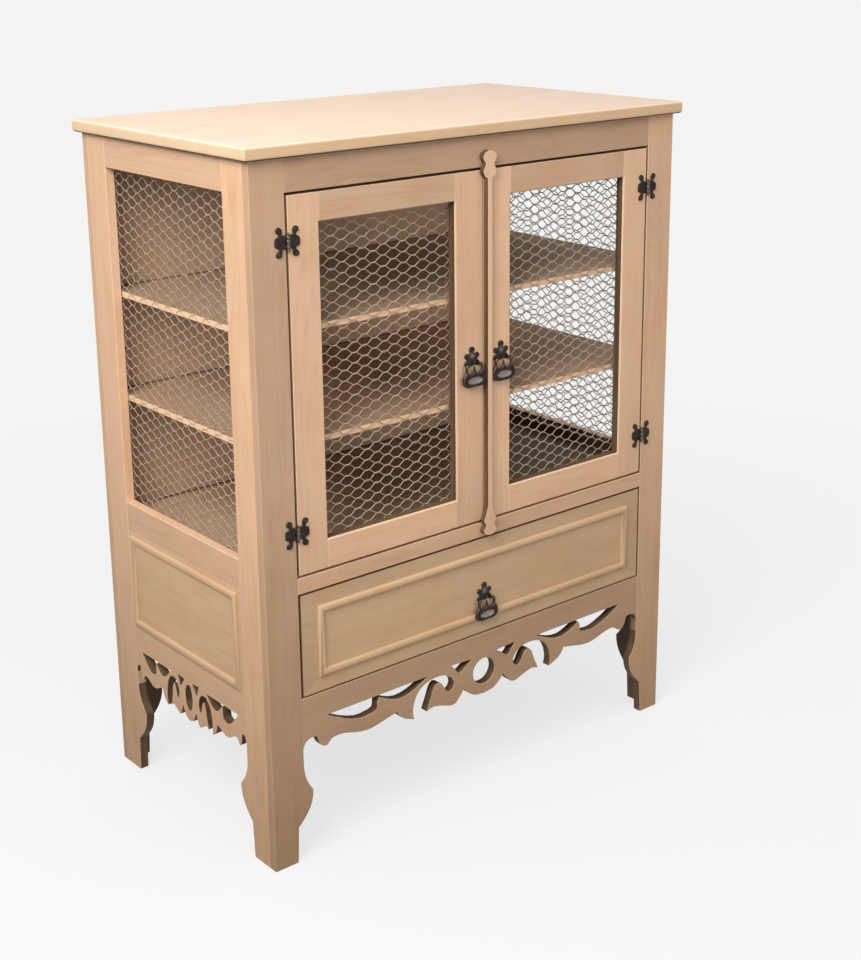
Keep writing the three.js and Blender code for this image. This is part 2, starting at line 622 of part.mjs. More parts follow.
// An ear stands out from the plate and is bored for the bail's pin; u runs from front to back
function earShape() {
  const ear = new THREE.Shape();
  ear.moveTo(-PLATE_THICK + OVERRUN, -EAR_RADIUS);
  ear.lineTo(-PLATE_THICK + OVERRUN, EAR_RADIUS);
  for (let i = 0; i <= EAR_SEGMENTS / 2; i += 1) {
    const angle = Math.PI * (1 / 2 + i / (EAR_SEGMENTS / 2));
    ear.lineTo(-PIVOT_LIFT + EAR_RADIUS * Math.cos(angle), EAR_RADIUS * Math.sin(angle));
  }
  ear.holes.push(new THREE.Path(circle(-PIVOT_LIFT, 0, BAIL_PIN_RADIUS + PIN_PLAY, EAR_SEGMENTS)));
  return ear;
}

function pullPlate() {
  const plate = frontBoard(symmetric(plateShares, PULL_HALF_WIDTH, PULL_ABOVE), PLATE_THICK, 0);
  const ear = sideBoard(earShape(), EAR_THICK, EAR_X);
  return join(plate, ear, mirrorX(ear));
}

// The bail is drawn about its own pivot
function pullBail() {
  const body = frontBoard(symmetric(bailShares, BAIL_HALF_WIDTH, BAIL_DROP), BAIL_THICK, BAIL_THICK / 2);
  const pinStart = EAR_X - BAIL_EYE_RADIUS / 2;
  const pinEnd = EAR_X + EAR_THICK + BAIL_EYE_RADIUS + OVERRUN;
  const pin = new THREE.CylinderGeometry(BAIL_PIN_RADIUS, BAIL_PIN_RADIUS, pinEnd - pinStart, EAR_SEGMENTS)
    .rotateZ(Math.PI / 2).translate((pinStart + pinEnd) / 2, 0, 0);
  return join(body, pin, mirrorX(pin));
}

const plateGeometry = pullPlate();
const bailGeometry = pullBail();

// Adds a pull to a face whose own axes are x and z; the pivot is at (x, z)
function addPull(parent, name, x, faceY, z) {
  addPiece(parent, `pull_plate_${name}`, plateGeometry.clone().translate(x, faceY, z), iron);
  const swing = addBody(parent, `bail_body_${name}`, x, faceY - PIVOT_LIFT, z);
  addPiece(swing, `pull_bail_${name}`, bailGeometry, iron);
}

// A four-sided cutter that is wide at the front and narrows to the opening at the sticking's depth
function stickingCutter(x0, z0, x1, z1, faceY) {
  const slope = STICKING_WIDTH / STICKING_DEPTH;
  const grow = STICKING_WIDTH + OVERRUN * slope;
  const corners = (g, y) => [[x0 - g, y, z0 - g], [x1 + g, y, z0 - g], [x1 + g, y, z1 + g], [x0 - g, y, z1 + g]];
  const vertices = [...corners(grow, faceY - OVERRUN), ...corners(0, faceY + STICKING_DEPTH)].flat();
  const geometry = new THREE.BufferGeometry();
  geometry.setAttribute('position', new THREE.Float32BufferAttribute(vertices, 3));
  geometry.setIndex([
    0, 1, 2, 0, 2, 3, 4, 6, 5, 4, 7, 6, 0, 4, 5, 0, 5, 1, 1, 5, 6, 1, 6, 2, 2, 6, 7, 2, 7, 3, 3, 7, 4, 3, 4, 0,
  ]);
  return geometry;
}

// Both doors are drawn as the left one, about the hinge axis, and mirrored for the right
const doorX0 = DOOR_GAP / 2;
const doorX1 = doorX0 + DOOR_WIDTH;
const openX0 = doorX0 + DOOR_STILE_WIDTH;
const openX1 = doorX1 - MEETING_STILE_WIDTH;
const openZ0 = DOOR_Z + DOOR_BOTTOM_RAIL;
const openZ1 = DOOR_TOP_Z - DOOR_TOP_RAIL;
const doorBackY = BARREL_LIFT + BOARD;
const sticking = stickingCutter(openX0, openZ0, openX1, openZ1, BARREL_LIFT);
const doorBoard = (x0, z0, x1, z1) => cut(frontBoard(rectangle(x0, z0, x1, z1), BOARD, doorBackY), sticking);
const doorNet = netShape(openX0, openZ0, openX1 - openX0, openZ1 - openZ0, DOOR_CELL);
const doorPieces = {
  hinge_stile: doorBoard(doorX0, DOOR_Z, openX0, DOOR_TOP_Z),
  meeting_stile: doorBoard(openX1, DOOR_Z, doorX1, DOOR_TOP_Z),
  top_rail: doorBoard(openX0, openZ1, openX1, DOOR_TOP_Z),
  bottom_rail: doorBoard(openX0, DOOR_Z, openX1, openZ0),
};

function addDoor(side, sign, pullInset) {
  const door = addBody(cupboard, `door_${side}`, sign * HINGE_X, HINGE_Y, 0);
  const toSide = (geometry) => (sign > 0 ? mirrorX(geometry) : geometry.clone());
  for (const [piece, geometry] of Object.entries(doorPieces)) {
    addPiece(door, `door_${side}_${piece}`, toSide(geometry), pine);
  }
  const net = frontBoard(doorNet, WIRE_THICK, doorBackY + WIRE_THICK);
  addPiece(door, `door_${side}_wire`, toSide(net), zincWire);
  for (const [level, z] of Object.entries(hingeLevels)) {
    addPiece(door, `hinge_leaf_door_${side}_${level}`, toSide(doorLeafOnLeft).translate(0, 0, z), iron);
  }
  addPull(door, `door_${side}`, -sign * (doorX1 - pullInset), BARREL_LIFT, PULL_Z);
  return door;
}

addDoor('left', -1, PULL_INSET_LEFT);
const rightDoor = addDoor('right', 1, PULL_INSET_RIGHT);

// Half outline of a finial, as shares of its half width and of its reach past the door's end. Its foot is where
// it leaves the strip; the lower finial has the longer foot.
const finialShares = [
  [0.75, -0.28], [0.98, -0.08], [0.86, 0.1], [0.66, 0.24], [0.62, 0.34], [0.78, 0.46], [0.96, 0.58], [0.97, 0.72],
  [0.78, 0.86], [0.38, 0.96],
];
const upperFootShare = -0.42;
const lowerFootShare = -1;

function finialOutline(endZ, reach, footShare) {
  const bulb = finialShares.map(([s, t]) => [s * FINIAL_HALF, endZ + t * reach]);
  const right = [[STRIP_WIDTH / 2, endZ + footShare * reach], ...bulb];
  const left = right.map(([u, v]) => [-u, v]).reverse();
  return [...right, [0, endZ + reach], ...left];
}

function meetingStrip() {
  const middle = -doorX1 + STRIP_WIDTH / 2;
  const upper = finialOutline(DOOR_TOP_Z, FINIAL_REACH_UP, upperFootShare);
  const lower = finialOutline(DOOR_Z, -FINIAL_REACH_DOWN, lowerFootShare).reverse();
  const outline = [...upper, ...lower].map(([u, v]) => [u + middle, v]);
  const face = frontBoard(polygon(outline), STRIP_THICK - STRIP_CLEARANCE, BARREL_LIFT - STRIP_CLEARANCE);
  const seat = block(
    middle - STRIP_WIDTH / 2, BARREL_LIFT - STRIP_CLEARANCE - OVERRUN, DOOR_Z,
    middle + STRIP_WIDTH / 2, BARREL_LIFT, DOOR_TOP_Z,
  );
  return join(face, seat);
}

addPiece(rightDoor, 'meeting_strip', meetingStrip(), pine);

// The drawer: its bottom slides in grooves under the back
const drawer = addBody(cupboard, 'drawer', 0, 0, 0);
const drawerBoxTopZ = DRAWER_Z + DRAWER_SIDE_HEIGHT;
const drawerBackY = INNER_FRONT_Y + DRAWER_LENGTH;
const drawerInnerX = drawerSideX - DRAWER_SIDE_THICK;
const bottomZ = DRAWER_Z + DRAWER_BOTTOM_LIFT;
const bottomTopZ = bottomZ + DRAWER_BOTTOM_THICK;
const bottomHalf = drawerInnerX + GROOVE_DEPTH - GROOVE_SLACK;
const groove = block(
  -drawerInnerX - GROOVE_DEPTH, INNER_FRONT_Y - GROOVE_DEPTH, bottomZ,
  drawerInnerX + GROOVE_DEPTH, drawerBackY + OVERRUN, bottomTopZ + GROOVE_SLACK,
);
const drawerMoulding = mouldingFrame(
  -DRAWER_HALF + DRAWER_MOULDING_INSET_X, DRAWER_Z + DRAWER_MOULDING_INSET_Z,
  DRAWER_HALF - DRAWER_MOULDING_INSET_X, DRAWER_TOP_Z - DRAWER_MOULDING_INSET_Z,
).applyMatrix4(TO_FRONT).translate(0, FRONT_Y, 0);
const drawerFront = frontBoard(rectangle(-DRAWER_HALF, DRAWER_Z, DRAWER_HALF, DRAWER_TOP_Z), BOARD, INNER_FRONT_Y);
addPiece(drawer, 'drawer_front', cut(join(drawerFront, drawerMoulding), groove), pine);
const drawerSide = block(-drawerSideX, INNER_FRONT_Y, DRAWER_Z, -drawerInnerX, drawerBackY, drawerBoxTopZ);
addPair(drawer, 'drawer_side', cut(drawerSide, groove), innerPine);
addPiece(drawer, 'drawer_back', block(
  -drawerInnerX, drawerBackY - DRAWER_SIDE_THICK, bottomTopZ, drawerInnerX, drawerBackY, drawerBoxTopZ,
), innerPine);
addPiece(drawer, 'drawer_bottom', block(
  -bottomHalf, INNER_FRONT_Y - GROOVE_DEPTH + GROOVE_SLACK, bottomZ, bottomHalf, drawerBackY, bottomTopZ,
), innerPine);
addPull(drawer, 'drawer', 0, FRONT_Y, DRAWER_PULL_Z);

export default cupboard;
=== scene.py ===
"""The looks of the jelly cupboard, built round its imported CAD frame. Lengths are in metres."""

import json
import math
import random

import bmesh
import bpy
from mathutils import Matrix, Vector
from mathutils.geometry import delaunay_2d_cdt


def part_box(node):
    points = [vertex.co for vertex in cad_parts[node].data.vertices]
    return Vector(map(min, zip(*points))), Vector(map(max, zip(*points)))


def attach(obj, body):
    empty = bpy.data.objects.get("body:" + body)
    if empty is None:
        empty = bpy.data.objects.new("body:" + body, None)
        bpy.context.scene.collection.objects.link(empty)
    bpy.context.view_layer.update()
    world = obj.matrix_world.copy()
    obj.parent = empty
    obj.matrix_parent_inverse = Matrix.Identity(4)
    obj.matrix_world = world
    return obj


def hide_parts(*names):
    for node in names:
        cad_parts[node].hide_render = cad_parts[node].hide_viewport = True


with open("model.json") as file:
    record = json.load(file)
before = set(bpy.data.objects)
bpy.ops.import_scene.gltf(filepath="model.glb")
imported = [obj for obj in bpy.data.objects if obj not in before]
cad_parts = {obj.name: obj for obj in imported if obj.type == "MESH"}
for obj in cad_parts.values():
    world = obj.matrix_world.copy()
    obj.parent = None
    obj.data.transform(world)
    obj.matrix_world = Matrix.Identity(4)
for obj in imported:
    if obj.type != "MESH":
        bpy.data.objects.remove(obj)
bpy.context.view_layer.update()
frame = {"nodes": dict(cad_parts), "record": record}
cad = frame["nodes"]
record = frame["record"]
body_of = {node: body for body, members in record["behaviour"]["bodies"].items() for node in members}
slot_of = {part["node"]: part["material_slot"] for part in record["subparts"]}
dice = random.Random(7)

SIDES = ("left", "right")
AXES = {"x": 0, "y": 1, "z": 2}

# ----------------------------------------------------------------------------------- node graphs

# The sockets of a Mix node that mixes colours
MIX_AMOUNT, MIX_A, MIX_B, MIX_RESULT = 0, 6, 7, 2


class Graph:
    """A node tree, with short ways to add and link its nodes."""

    def __init__(self, tree):
        self.tree = tree

    def put(self, socket, value):
        """Links a socket to another node's output, or sets it to a plain value."""
        if isinstance(value, bpy.types.NodeSocket):
            self.tree.links.new(value, socket)
        else:
            socket.default_value = value

    def add(self, kind, inputs=None, **settings):
        node = self.tree.nodes.new(kind)
        for key, value in settings.items():
            setattr(node, key, value)
        for key, value in (inputs or {}).items():
            self.put(node.inputs[key], value)
        return node

    def attribute(self, name):
        return self.add("ShaderNodeAttribute", attribute_name=name)

    def marked(self, name, share):
        """A share of what an attribute marks."""
        return self.math("MULTIPLY", self.attribute(name).outputs["Fac"], share, clamp=True)

    def object_place(self):
        return self.add("ShaderNodeTexCoord").outputs["Object"]

    def math(self, operation, a, b=0.0, clamp=False):
        return self.add("ShaderNodeMath", {0: a, 1: b}, operation=operation, use_clamp=clamp).outputs[0]

    def scaled(self, vector, scale):
        return self.add("ShaderNodeVectorMath", {0: vector, 1: scale}, operation="MULTIPLY").outputs[0]

    def noise(self, vector, scale, detail, roughness):
        inputs = {"Vector": vector, "Scale": scale, "Detail": detail, "Roughness": roughness}
        return self.add("ShaderNodeTexNoise", inputs).outputs[0]

    def ramp(self, value, low, high, to_low=0.0, to_high=1.0):
        """to_low at low, to_high at high, and straight between them."""
        inputs = {"Value": value, "From Min": low, "From Max": high, "To Min": to_low, "To Max": to_high}
        return self.add("ShaderNodeMapRange", inputs, clamp=True).outputs[0]

    def mix(self, amount, a, b, blend="MIX"):
        inputs = {MIX_AMOUNT: amount, MIX_A: a, MIX_B: b}
        node = self.add("ShaderNodeMix", inputs, data_type="RGBA", blend_type=blend, clamp_result=True)
        return node.outputs[MIX_RESULT]

    def bump(self, height, strength, distance):
        inputs = {"Strength": strength, "Distance": distance, "Height": height}
        return self.add("ShaderNodeBump", inputs).outputs[0]

    def shows_backdrop(self):
        """1 for the rays that show the backdrop itself: from the camera, off metal and through glass."""
        ray = self.add("ShaderNodeLightPath").outputs
        shows = self.math("MAXIMUM", ray["Is Camera Ray"], ray["Is Glossy Ray"])
        return self.math("MAXIMUM", shows, ray["Is Transmission Ray"])


class MaterialGraph(Graph):
    """The node tree of a new material."""

    def __init__(self, name):
        self.material = bpy.data.materials.new(name)
        self.material.use_nodes = True
        super().__init__(self.material.node_tree)
        self.shader = self.tree.nodes["Principled BSDF"]

    def shaded(self, inputs):
        """The material, once its shader has these inputs."""
        for key, value in inputs.items():
            self.put(self.shader.inputs[key], value)
        return self.material


def colour(r, g, b):
    return (r, g, b, 1.0)


def grey(level):
    return colour(level, level, level)


# ----------------------------------------------------------------------------------- materials

# Wood: each noise's cells to the metre, along the board and across it
BEND_CELLS = (1.6, 7.0)
STREAK_CELLS = (2.2, 75.0)
FIBRE_CELLS = (9.0, 900.0)
CLOUD_CELLS = (5.0, 14.0)

# The growth rings, how far they wander, and how sharply the late wood ends
RINGS = {"Scale": 66.0, "Distortion": 1.2, "Detail": 1.0, "Detail Scale": 0.3}
RING_BEND = 0.05
LATE_WOOD_POWER = 3.0

# How much streaks and fibres show against the rings, and the middle levels of a noise and of the
# clouds
STREAK_SHARE = 2.4
FIBRE_SHARE = 1.4
NOISE_MIDDLE = 0.5
CLOUD_MIDDLE = 0.42

# Patches of another hue: the noise's cells and scale, where they begin and are full, their strength
# and their tint
HUE_PATCHES = (
    ((9.0, 24.0), 1.0, (0.46, 0.66), 0.55, (1.0, 0.90, 0.88)),
    ((7.0, 19.0), 1.7, (0.50, 0.70), 0.50, (1.0, 0.98, 0.86)),
)

# Painted shade: the wood gets darker and duller towards the floor. Its tint, the height where it begins
# and the height where it is full
LOW_SHADE_TINT = (0.65, 0.635, 0.58)
LOW_SHADE_TOP = 0.80
LOW_SHADE_FULL = 0.02

# Painted shade in the crease along the back of the shelves, where they meet the back panel: its tint, and
# where it begins, is full and ends, in front of their back edge
BACK_SHADE_TINT = (0.16, 0.13, 0.12)
BACK_SHADE_BEGINS = 0.016
BACK_SHADE_FULL = 0.004
BACK_SHADE_ENDS = 0.0002

# The old finish: its two colours, the streaks over which it goes from one to the other, and the
# clouds over which it sets in. Rubbed arrises set in over WORN_STREAKS
OLD_DEEP = (0.085, 0.046, 0.022)
OLD_PALE = (0.17, 0.10, 0.055)
OLD_STREAKS = (0.35, 0.75)
OLD_CLOUDS = (0.0, 0.25)
WORN_STREAKS = (0.25, 0.6)

# The wood's surface. A bump is a strength and a height
FIBRE_ROUGHNESS = 0.16
WORN_GLOSS = 0.12
WOOD_SPECULAR = 0.35
RING_RELIEF = 0.5
WOOD_BUMP = (0.35, 0.00025)

# Iron: the scales of its cast skin and its patches, its colours and its surface. A roughness is
# given by the levels of a noise at which it is 0 and 1
CAST_SCALE = 420.0
PATCH_SCALE = 90.0
IRON_DEEP = (0.016, 0.009, 0.0065)
IRON_PALE = (0.034, 0.020, 0.015)
IRON_PATCHES = (0.35, 0.7)
IRON_RUBBED = (0.30, 0.25, 0.22)
RUBBED_CAST = (0.15, 0.6)
IRON_METALLIC = 0.75
IRON_ROUGHNESS = (-0.35, 1.9)
IRON_BUMP = (0.3, 0.0002)

# Zinc: the scales of its bloom and its spangle, its colours and its surface
BLOOM_SCALE = 55.0
SPANGLE_SCALE = 900.0
ZINC_PALE = (0.47, 0.375, 0.29)
ZINC_DEEP = (0.33, 0.26, 0.195)
ZINC_PATCHES = (0.35, 0.65)
ZINC_SPANGLE = (0.50, 0.46, 0.42)
SPANGLE_SHARE = 0.3
ZINC_METALLIC = 0.25
ZINC_ROUGHNESS = (-0.6, 1.6)
ZINC_BUMP = (0.2, 0.0001)


def wood(name, pale, deep, arris, roughness, figure, blotch, back_line=None):
    """Stripped softwood, whose figure and blotches go from pale to deep. It reads four attributes of the
    mesh. grain is the place in the board, along it in x and with the pith on the x axis. arris marks the
    corners, which are rubbed pale. stain marks the edges and hidden faces that keep the old dark finish.
    tone tints each board, and carries painted light and shade on some boards and faces. The wood is also
    darkened towards the floor and along the back of the shelves, as painted shade."""
    g = MaterialGraph(name)
    grain = g.attribute("grain").outputs["Vector"]

    def figured(cells, detail=3.0, roughness=0.55, scale=1.0):
        along, across = cells
        return g.noise(g.scaled(grain, (along, across, across)), scale, detail, roughness)

    def swing(value, amount, middle=NOISE_MIDDLE):
        return g.math("MULTIPLY", g.math("SUBTRACT", value, middle), amount)

    drift = g.math("SUBTRACT", figured(BEND_CELLS, detail=2.0, roughness=0.5), NOISE_MIDDLE)
    aside = g.add("ShaderNodeCombineXYZ", {"Y": drift, "Z": drift}).outputs[0]
    bent = g.add("ShaderNodeVectorMath", {0: aside, 1: (0.0, RING_BEND, RING_BEND), 2: grain},
                 operation="MULTIPLY_ADD").outputs[0]
    rings = g.add("ShaderNodeTexWave", {"Vector": bent, **RINGS},
                  wave_type="RINGS", rings_direction="X", wave_profile="SAW").outputs["Fac"]
    late = g.math("POWER", rings, LATE_WOOD_POWER)
    fibre = figured(FIBRE_CELLS, roughness=0.6)
    streak = figured(STREAK_CELLS)
    cloud = figured(CLOUD_CELLS)

    depth = g.math("MULTIPLY", late, figure)
    depth = g.math("ADD", depth, swing(streak, figure * STREAK_SHARE))
    depth = g.math("ADD", depth, swing(fibre, figure * FIBRE_SHARE))
    depth = g.math("ADD", depth, swing(cloud, blotch, CLOUD_MIDDLE), clamp=True)
    base = g.mix(depth, colour(*pale), colour(*deep))
    for cells, scale, levels, strength, tint in HUE_PATCHES:
        patch = g.ramp(figured(cells, detail=2.0, roughness=0.5, scale=scale), *levels)
        base = g.mix(g.math("MULTIPLY", patch, strength), base, colour(*tint), "MULTIPLY")

    worn = g.marked("arris", g.ramp(streak, *WORN_STREAKS))
    base = g.mix(worn, base, colour(*arris))
    # tone holds each board's own tone and the painted light and shade that mark_board writes into it
    base = g.mix(1.0, base, g.attribute("tone").outputs["Color"], "MULTIPLY")
    place = g.add("ShaderNodeSeparateXYZ", {0: g.object_place()}).outputs
    # Painted shade: darker towards the floor
    base = g.mix(g.ramp(place["Z"], LOW_SHADE_TOP, LOW_SHADE_FULL), base, colour(*LOW_SHADE_TINT), "MULTIPLY")
    # Painted shade along the back of the shelves
    if back_line:
        back_shade = g.math("MULTIPLY", g.ramp(place["Y"], back_line - BACK_SHADE_BEGINS, back_line - BACK_SHADE_FULL),
                       g.math("LESS_THAN", place["Y"], back_line - BACK_SHADE_ENDS))
        base = g.mix(back_shade, base, colour(*BACK_SHADE_TINT), "MULTIPLY")
    old = g.mix(g.ramp(streak, *OLD_STREAKS), colour(*OLD_DEEP), colour(*OLD_PALE))
    stained = g.marked("stain", g.ramp(cloud, *OLD_CLOUDS))

    rough = g.math("ADD", roughness, swing(fibre, FIBRE_ROUGHNESS))
    relief = g.math("ADD", g.math("MULTIPLY", late, RING_RELIEF), fibre)
    return g.shaded({
        "Base Color": g.mix(stained, base, old),
        "Roughness": g.math("SUBTRACT", rough, g.math("MULTIPLY", worn, WORN_GLOSS)),
        "Specular IOR Level": WOOD_SPECULAR,
        "Normal": g.bump(relief, *WOOD_BUMP),
    })


def dark_iron(name):
    """Bronzed iron: near black, with a soft sheen, and paler where hands and doors have rubbed it."""
    g = MaterialGraph(name)
    place = g.object_place()
    cast = g.noise(place, CAST_SCALE, detail=4.0, roughness=0.6)
    patch = g.noise(place, PATCH_SCALE, detail=3.0, roughness=0.55)
    base = g.mix(g.ramp(patch, *IRON_PATCHES), colour(*IRON_DEEP), colour(*IRON_PALE))
    rubbed = g.marked("arris", g.ramp(cast, *RUBBED_CAST))
    return g.shaded({
        "Base Color": g.mix(rubbed, base, colour(*IRON_RUBBED)),
        "Metallic": IRON_METALLIC,
        "Roughness": g.ramp(patch, *IRON_ROUGHNESS),
        "Normal": g.bump(cast, *IRON_BUMP),
    })


def zinc_wire(name):
    """Galvanised wire gone dull, with a warm, uneven bloom."""
    g = MaterialGraph(name)
    place = g.object_place()
    bloom = g.noise(place, BLOOM_SCALE, detail=3.0, roughness=0.6)
    spangle = g.noise(place, SPANGLE_SCALE, detail=2.0, roughness=0.5)
    base = g.mix(g.ramp(bloom, *ZINC_PATCHES), colour(*ZINC_PALE), colour(*ZINC_DEEP))
    return g.shaded({
        "Base Color": g.mix(g.math("MULTIPLY", spangle, SPANGLE_SHARE), base, colour(*ZINC_SPANGLE)),
        "Metallic": ZINC_METALLIC,
        "Roughness": g.ramp(bloom, *ZINC_ROUGHNESS),
        "Normal": g.bump(spangle, *ZINC_BUMP),
    })


MATERIALS = {
    "pine": wood(
        "wood_pine", pale=(0.66, 0.42, 0.265), deep=(0.44, 0.26, 0.145), arris=(0.76, 0.55, 0.37),
        roughness=0.62, figure=0.20, blotch=0.80),
    "pine_top": wood(
        "wood_pine_top", pale=(0.78, 0.61, 0.475), deep=(0.62, 0.435, 0.295), arris=(0.85, 0.67, 0.51),
        roughness=0.58, figure=0.13, blotch=0.30),
    "pine_inside": wood(
        "wood_pine_inside", pale=(0.68, 0.44, 0.275), deep=(0.40, 0.24, 0.135), arris=(0.68, 0.53, 0.38),
        roughness=0.70, figure=0.25, blotch=0.40, back_line=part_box("shelf_1")[1].y),
    "iron": dark_iron("metal_dark_iron"),
    "wire": zinc_wire("metal_zinc_wire"),
}


def dress(piece, node, material):
    """Rides, replaces and paints a piece that stands for one CAD node."""
    piece.data.materials.clear()
    piece.data.materials.append(MATERIALS[material])
    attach(piece, body_of[node])
    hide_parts(node)
    return piece


def new_piece(name, data):
    piece = bpy.data.objects.new(name, data)
    bpy.context.scene.collection.objects.link(piece)
    return piece


# ----------------------------------------------------------------------------------- wooden boards

# How far the arrises are eased, the angle between two faces from which they are, the one from which
# the edge is shaded sharp, and the one up to which the faces are merged
ARRIS = 0.0009
BEVEL_ANGLE = math.radians(30)
SHARP_ANGLE = math.radians(50)
FLAT_ANGLE = math.radians(0.5)
WELD_DISTANCE = 1e-6
NORMAL_WEIGHT = 80

# The axis along which each board's grain runs, by a word in its name or by the start of it, and
# else x
ALONG_Z = ("stile", "back_panel", "meeting_strip")
ALONG_Y = ("side_top_rail", "side_mid_rail", "side_panel", "side_apron", "drawer_side", "drawer_runner")

# How bright each board is against its material, by the first of these that its name starts with. Some are
# painted light and shade: the front top rail is darkened as painted shade under the top's overhang, the
# cabinet floor is darkened as painted shade inside the case, and the back panel is brightened as painted
# light
TONES = {
    "front_apron": 0.84, "front_top_rail": 0.76, "front_mid_rail": 1.07,
    "front_stile_left": 0.84, "front_stile_right": 1.04,
    "back_panel": 1.2, "back_": 0.95,
    "side_panel": 0.86, "side_top_rail": 1.04, "side_mid_rail": 1.04, "side_": 1.10,
    "drawer_front": 0.87, "meeting_strip": 1.15, "cabinet_floor": 0.7, "shelf": 0.83,
    "door_left_bottom": 1.18, "door_left_top_rail": 0.95,
    "door_right_top_rail": 0.92, "door_right_meeting": 1.3, "door_right": 1.16, "door_": 1.10,
}

# How far each board's tone and warmth stray by chance, and where its pith may lie: along, across
# and below
TONE_SPREAD = (0.975, 1.025)
WARMTH_SPREAD = (-0.012, 0.012)
PITH_SPREADS = ((-4, 4), (-0.09, 0.09), (0.05, 0.13))

# Painted light and shade: how much paler a board gets with each metre to the right, the back panel paler
# and the cabinet floor darker towards the right
LIGHT_SLOPES = {"back_panel": 0.5, "cabinet_floor": -1.0}

# The show side of each frame, by the start of its name: the other faces keep the old dark finish
SHOW_SIDES = {
    "front_": (0, -1, 0), "door_": (0, -1, 0), "drawer_front": (0, -1, 0), "meeting_strip": (0, -1, 0),
    "back_": (0, 1, 0), "side": None, "top_board": (0, 0, 1),
}

# The outer faces of the case's sides, and the top of the front apron
CASE_SIDE = abs(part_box("front_stile_left")[0].x)
APRON_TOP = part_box("front_apron")[1].z

# A face this near to the outline of its door or case lies on it
RIM = 0.002

# How much of an axis a face's normal has at least, when the face is turned to it, faces it, or lies
# square to it
TURNED_TO = 0.25
FACING = 0.5
SQUARE_TO = 0.9

# Boards with a planted moulding: the axis and side that it stands out on, and its inset from the
# ends and the long edges
MOULDINGS = {
    "drawer_front": ("y", -1, 0.038, 0.0305), "side_panel_left": ("x", -1, 0.012, 0.007),
    "side_panel_right": ("x", 1, 0.012, 0.007),
}

# The moulding's height, how far out a face counts as part of it, and how it looks: paler and yellower than
# its board, partly its own colour and partly a painted highlight
MOULDING_HEIGHT = 0.0065
MOULDING_LEAST = 0.0001
MOULDING_TONE = 1.22
MOULDING_TINT = (0.98, 1.03, 0.98)
PLAIN_TINT = (1, 1, 1)

# How bright the shelves' front edges, the edges of the side openings and the flat margin of the drawer
# front are. The shelves' edges and the openings' edges are brightened as painted light. The margin's faces
# reach to within MARGIN_REACH of the drawer front's top
SHELF_EDGE_LIGHT = 1.6
REVEAL_LIGHT = 1.3
MARGIN_TONE = 0.89
MARGIN_REACH = 0.003

# The tints of the top board's edges, whose faces have less than TOP_EDGE_SLOPE of the z axis in their
# normals. The front edge is tinted darker than the ends as painted shade
TOP_END_TINT = (0.95, 0.89, 0.75)
TOP_FRONT_TINT = (0.87, 0.76, 0.60)
TOP_EDGE_SLOPE = 0.6

# How much of the old finish is left in the gaps round the doors and the drawer
GAP_STAIN = 0.45

# The door stop: its distance from the doors' backs, its thickness, and how far it reaches below and
# above their tops
STOP_CLEARANCE = 0.0006
STOP_THICK = 0.012
STOP_LAP = 0.009
STOP_RISE = 0.024


def door_outline(side):
    """The box round a door's frame, as its low and high corners."""
    boxes = [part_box(f"door_{side}_{part}") for part in ("hinge_stile", "meeting_stile")]
    return Vector(map(min, zip(*(b[0] for b in boxes)))), Vector(map(max, zip(*(b[1] for b in boxes))))


DOOR_BOX = {side: door_outline(side) for side in SIDES}


def grain_axis(node):
    if any(word in node for word in ALONG_Z):
        return "z"
    if node.startswith(ALONG_Y):
        return "y"
    return "x"


def tone_of(node):
    tone = next((value for start, value in TONES.items() if node.startswith(start)), 1.0)
    return tone * dice.uniform(*TONE_SPREAD)


def moulding_run(node, centre):
    """The axis along which the moulding runs that a face of this board belongs to, or None."""
    if node not in MOULDINGS:
        return None
    out, side, inset_u, inset_z = MOULDINGS[node]
    lo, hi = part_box(node)
    w = AXES[out]
    face = hi[w] - MOULDING_HEIGHT if side > 0 else lo[w] + MOULDING_HEIGHT
    if (centre[w] - face) * side < MOULDING_LEAST:
        return None
    u = 0 if w == 1 else 1
    in_u = min(centre[u] - lo[u], hi[u] - centre[u]) - inset_u
    in_z = min(centre.z - lo.z, hi.z - centre.z) - inset_z
    return "z" if in_u < in_z else "xy"[u]


def is_shown(node, normal, centre):
    """Whether a face of this board was stripped pale."""
    if slot_of[node] == "pine_inside":
        return node.startswith("shelf") and abs(normal.z) < SQUARE_TO
    if node == "front_top_rail" and centre.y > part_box(node)[1].y + STOP_CLEARANCE / 2:
        return False
    start = next(key for key in SHOW_SIDES if node.startswith(key))
    if start == "top_board":
        return normal.z > -FACING
    if start in ("front_", "back_") and abs(centre.x) > CASE_SIDE - RIM:
        return True
    show = SHOW_SIDES[start] or ((-1, 0, 0) if node.endswith("left") else (1, 0, 0))
    return normal.dot(Vector(show)) > TURNED_TO or moulding_run(node, centre) is not None


def is_reveal(node, normal, centre):
    """The edges of a side opening that the light reaches were stripped too. paint_of also brightens them,
    as painted light.
    """
    return node.startswith("side_") and centre.z > APRON_TOP and (normal.y < -FACING or normal.z > FACING)


def stain_of(node, normal, centre):
    """How much of the old dark finish a face keeps."""
    if is_shown(node, normal, centre) or slot_of[node] == "pine_inside" or is_reveal(node, normal, centre):
        return 0.0
    if node == "drawer_front":
        return GAP_STAIN
    if node.startswith("door_"):
        lo, hi = DOOR_BOX[node.split("_")[1]]
        rim = min(centre.x - lo.x, hi.x - centre.x, centre.z - lo.z, hi.z - centre.z)
        return GAP_STAIN if rim < RIM else 1.0
    if node.startswith("front_") and centre.z > APRON_TOP - ARRIS and abs(normal.y) < FACING:
        return 0.0 if normal.z > FACING else GAP_STAIN
    return 1.0


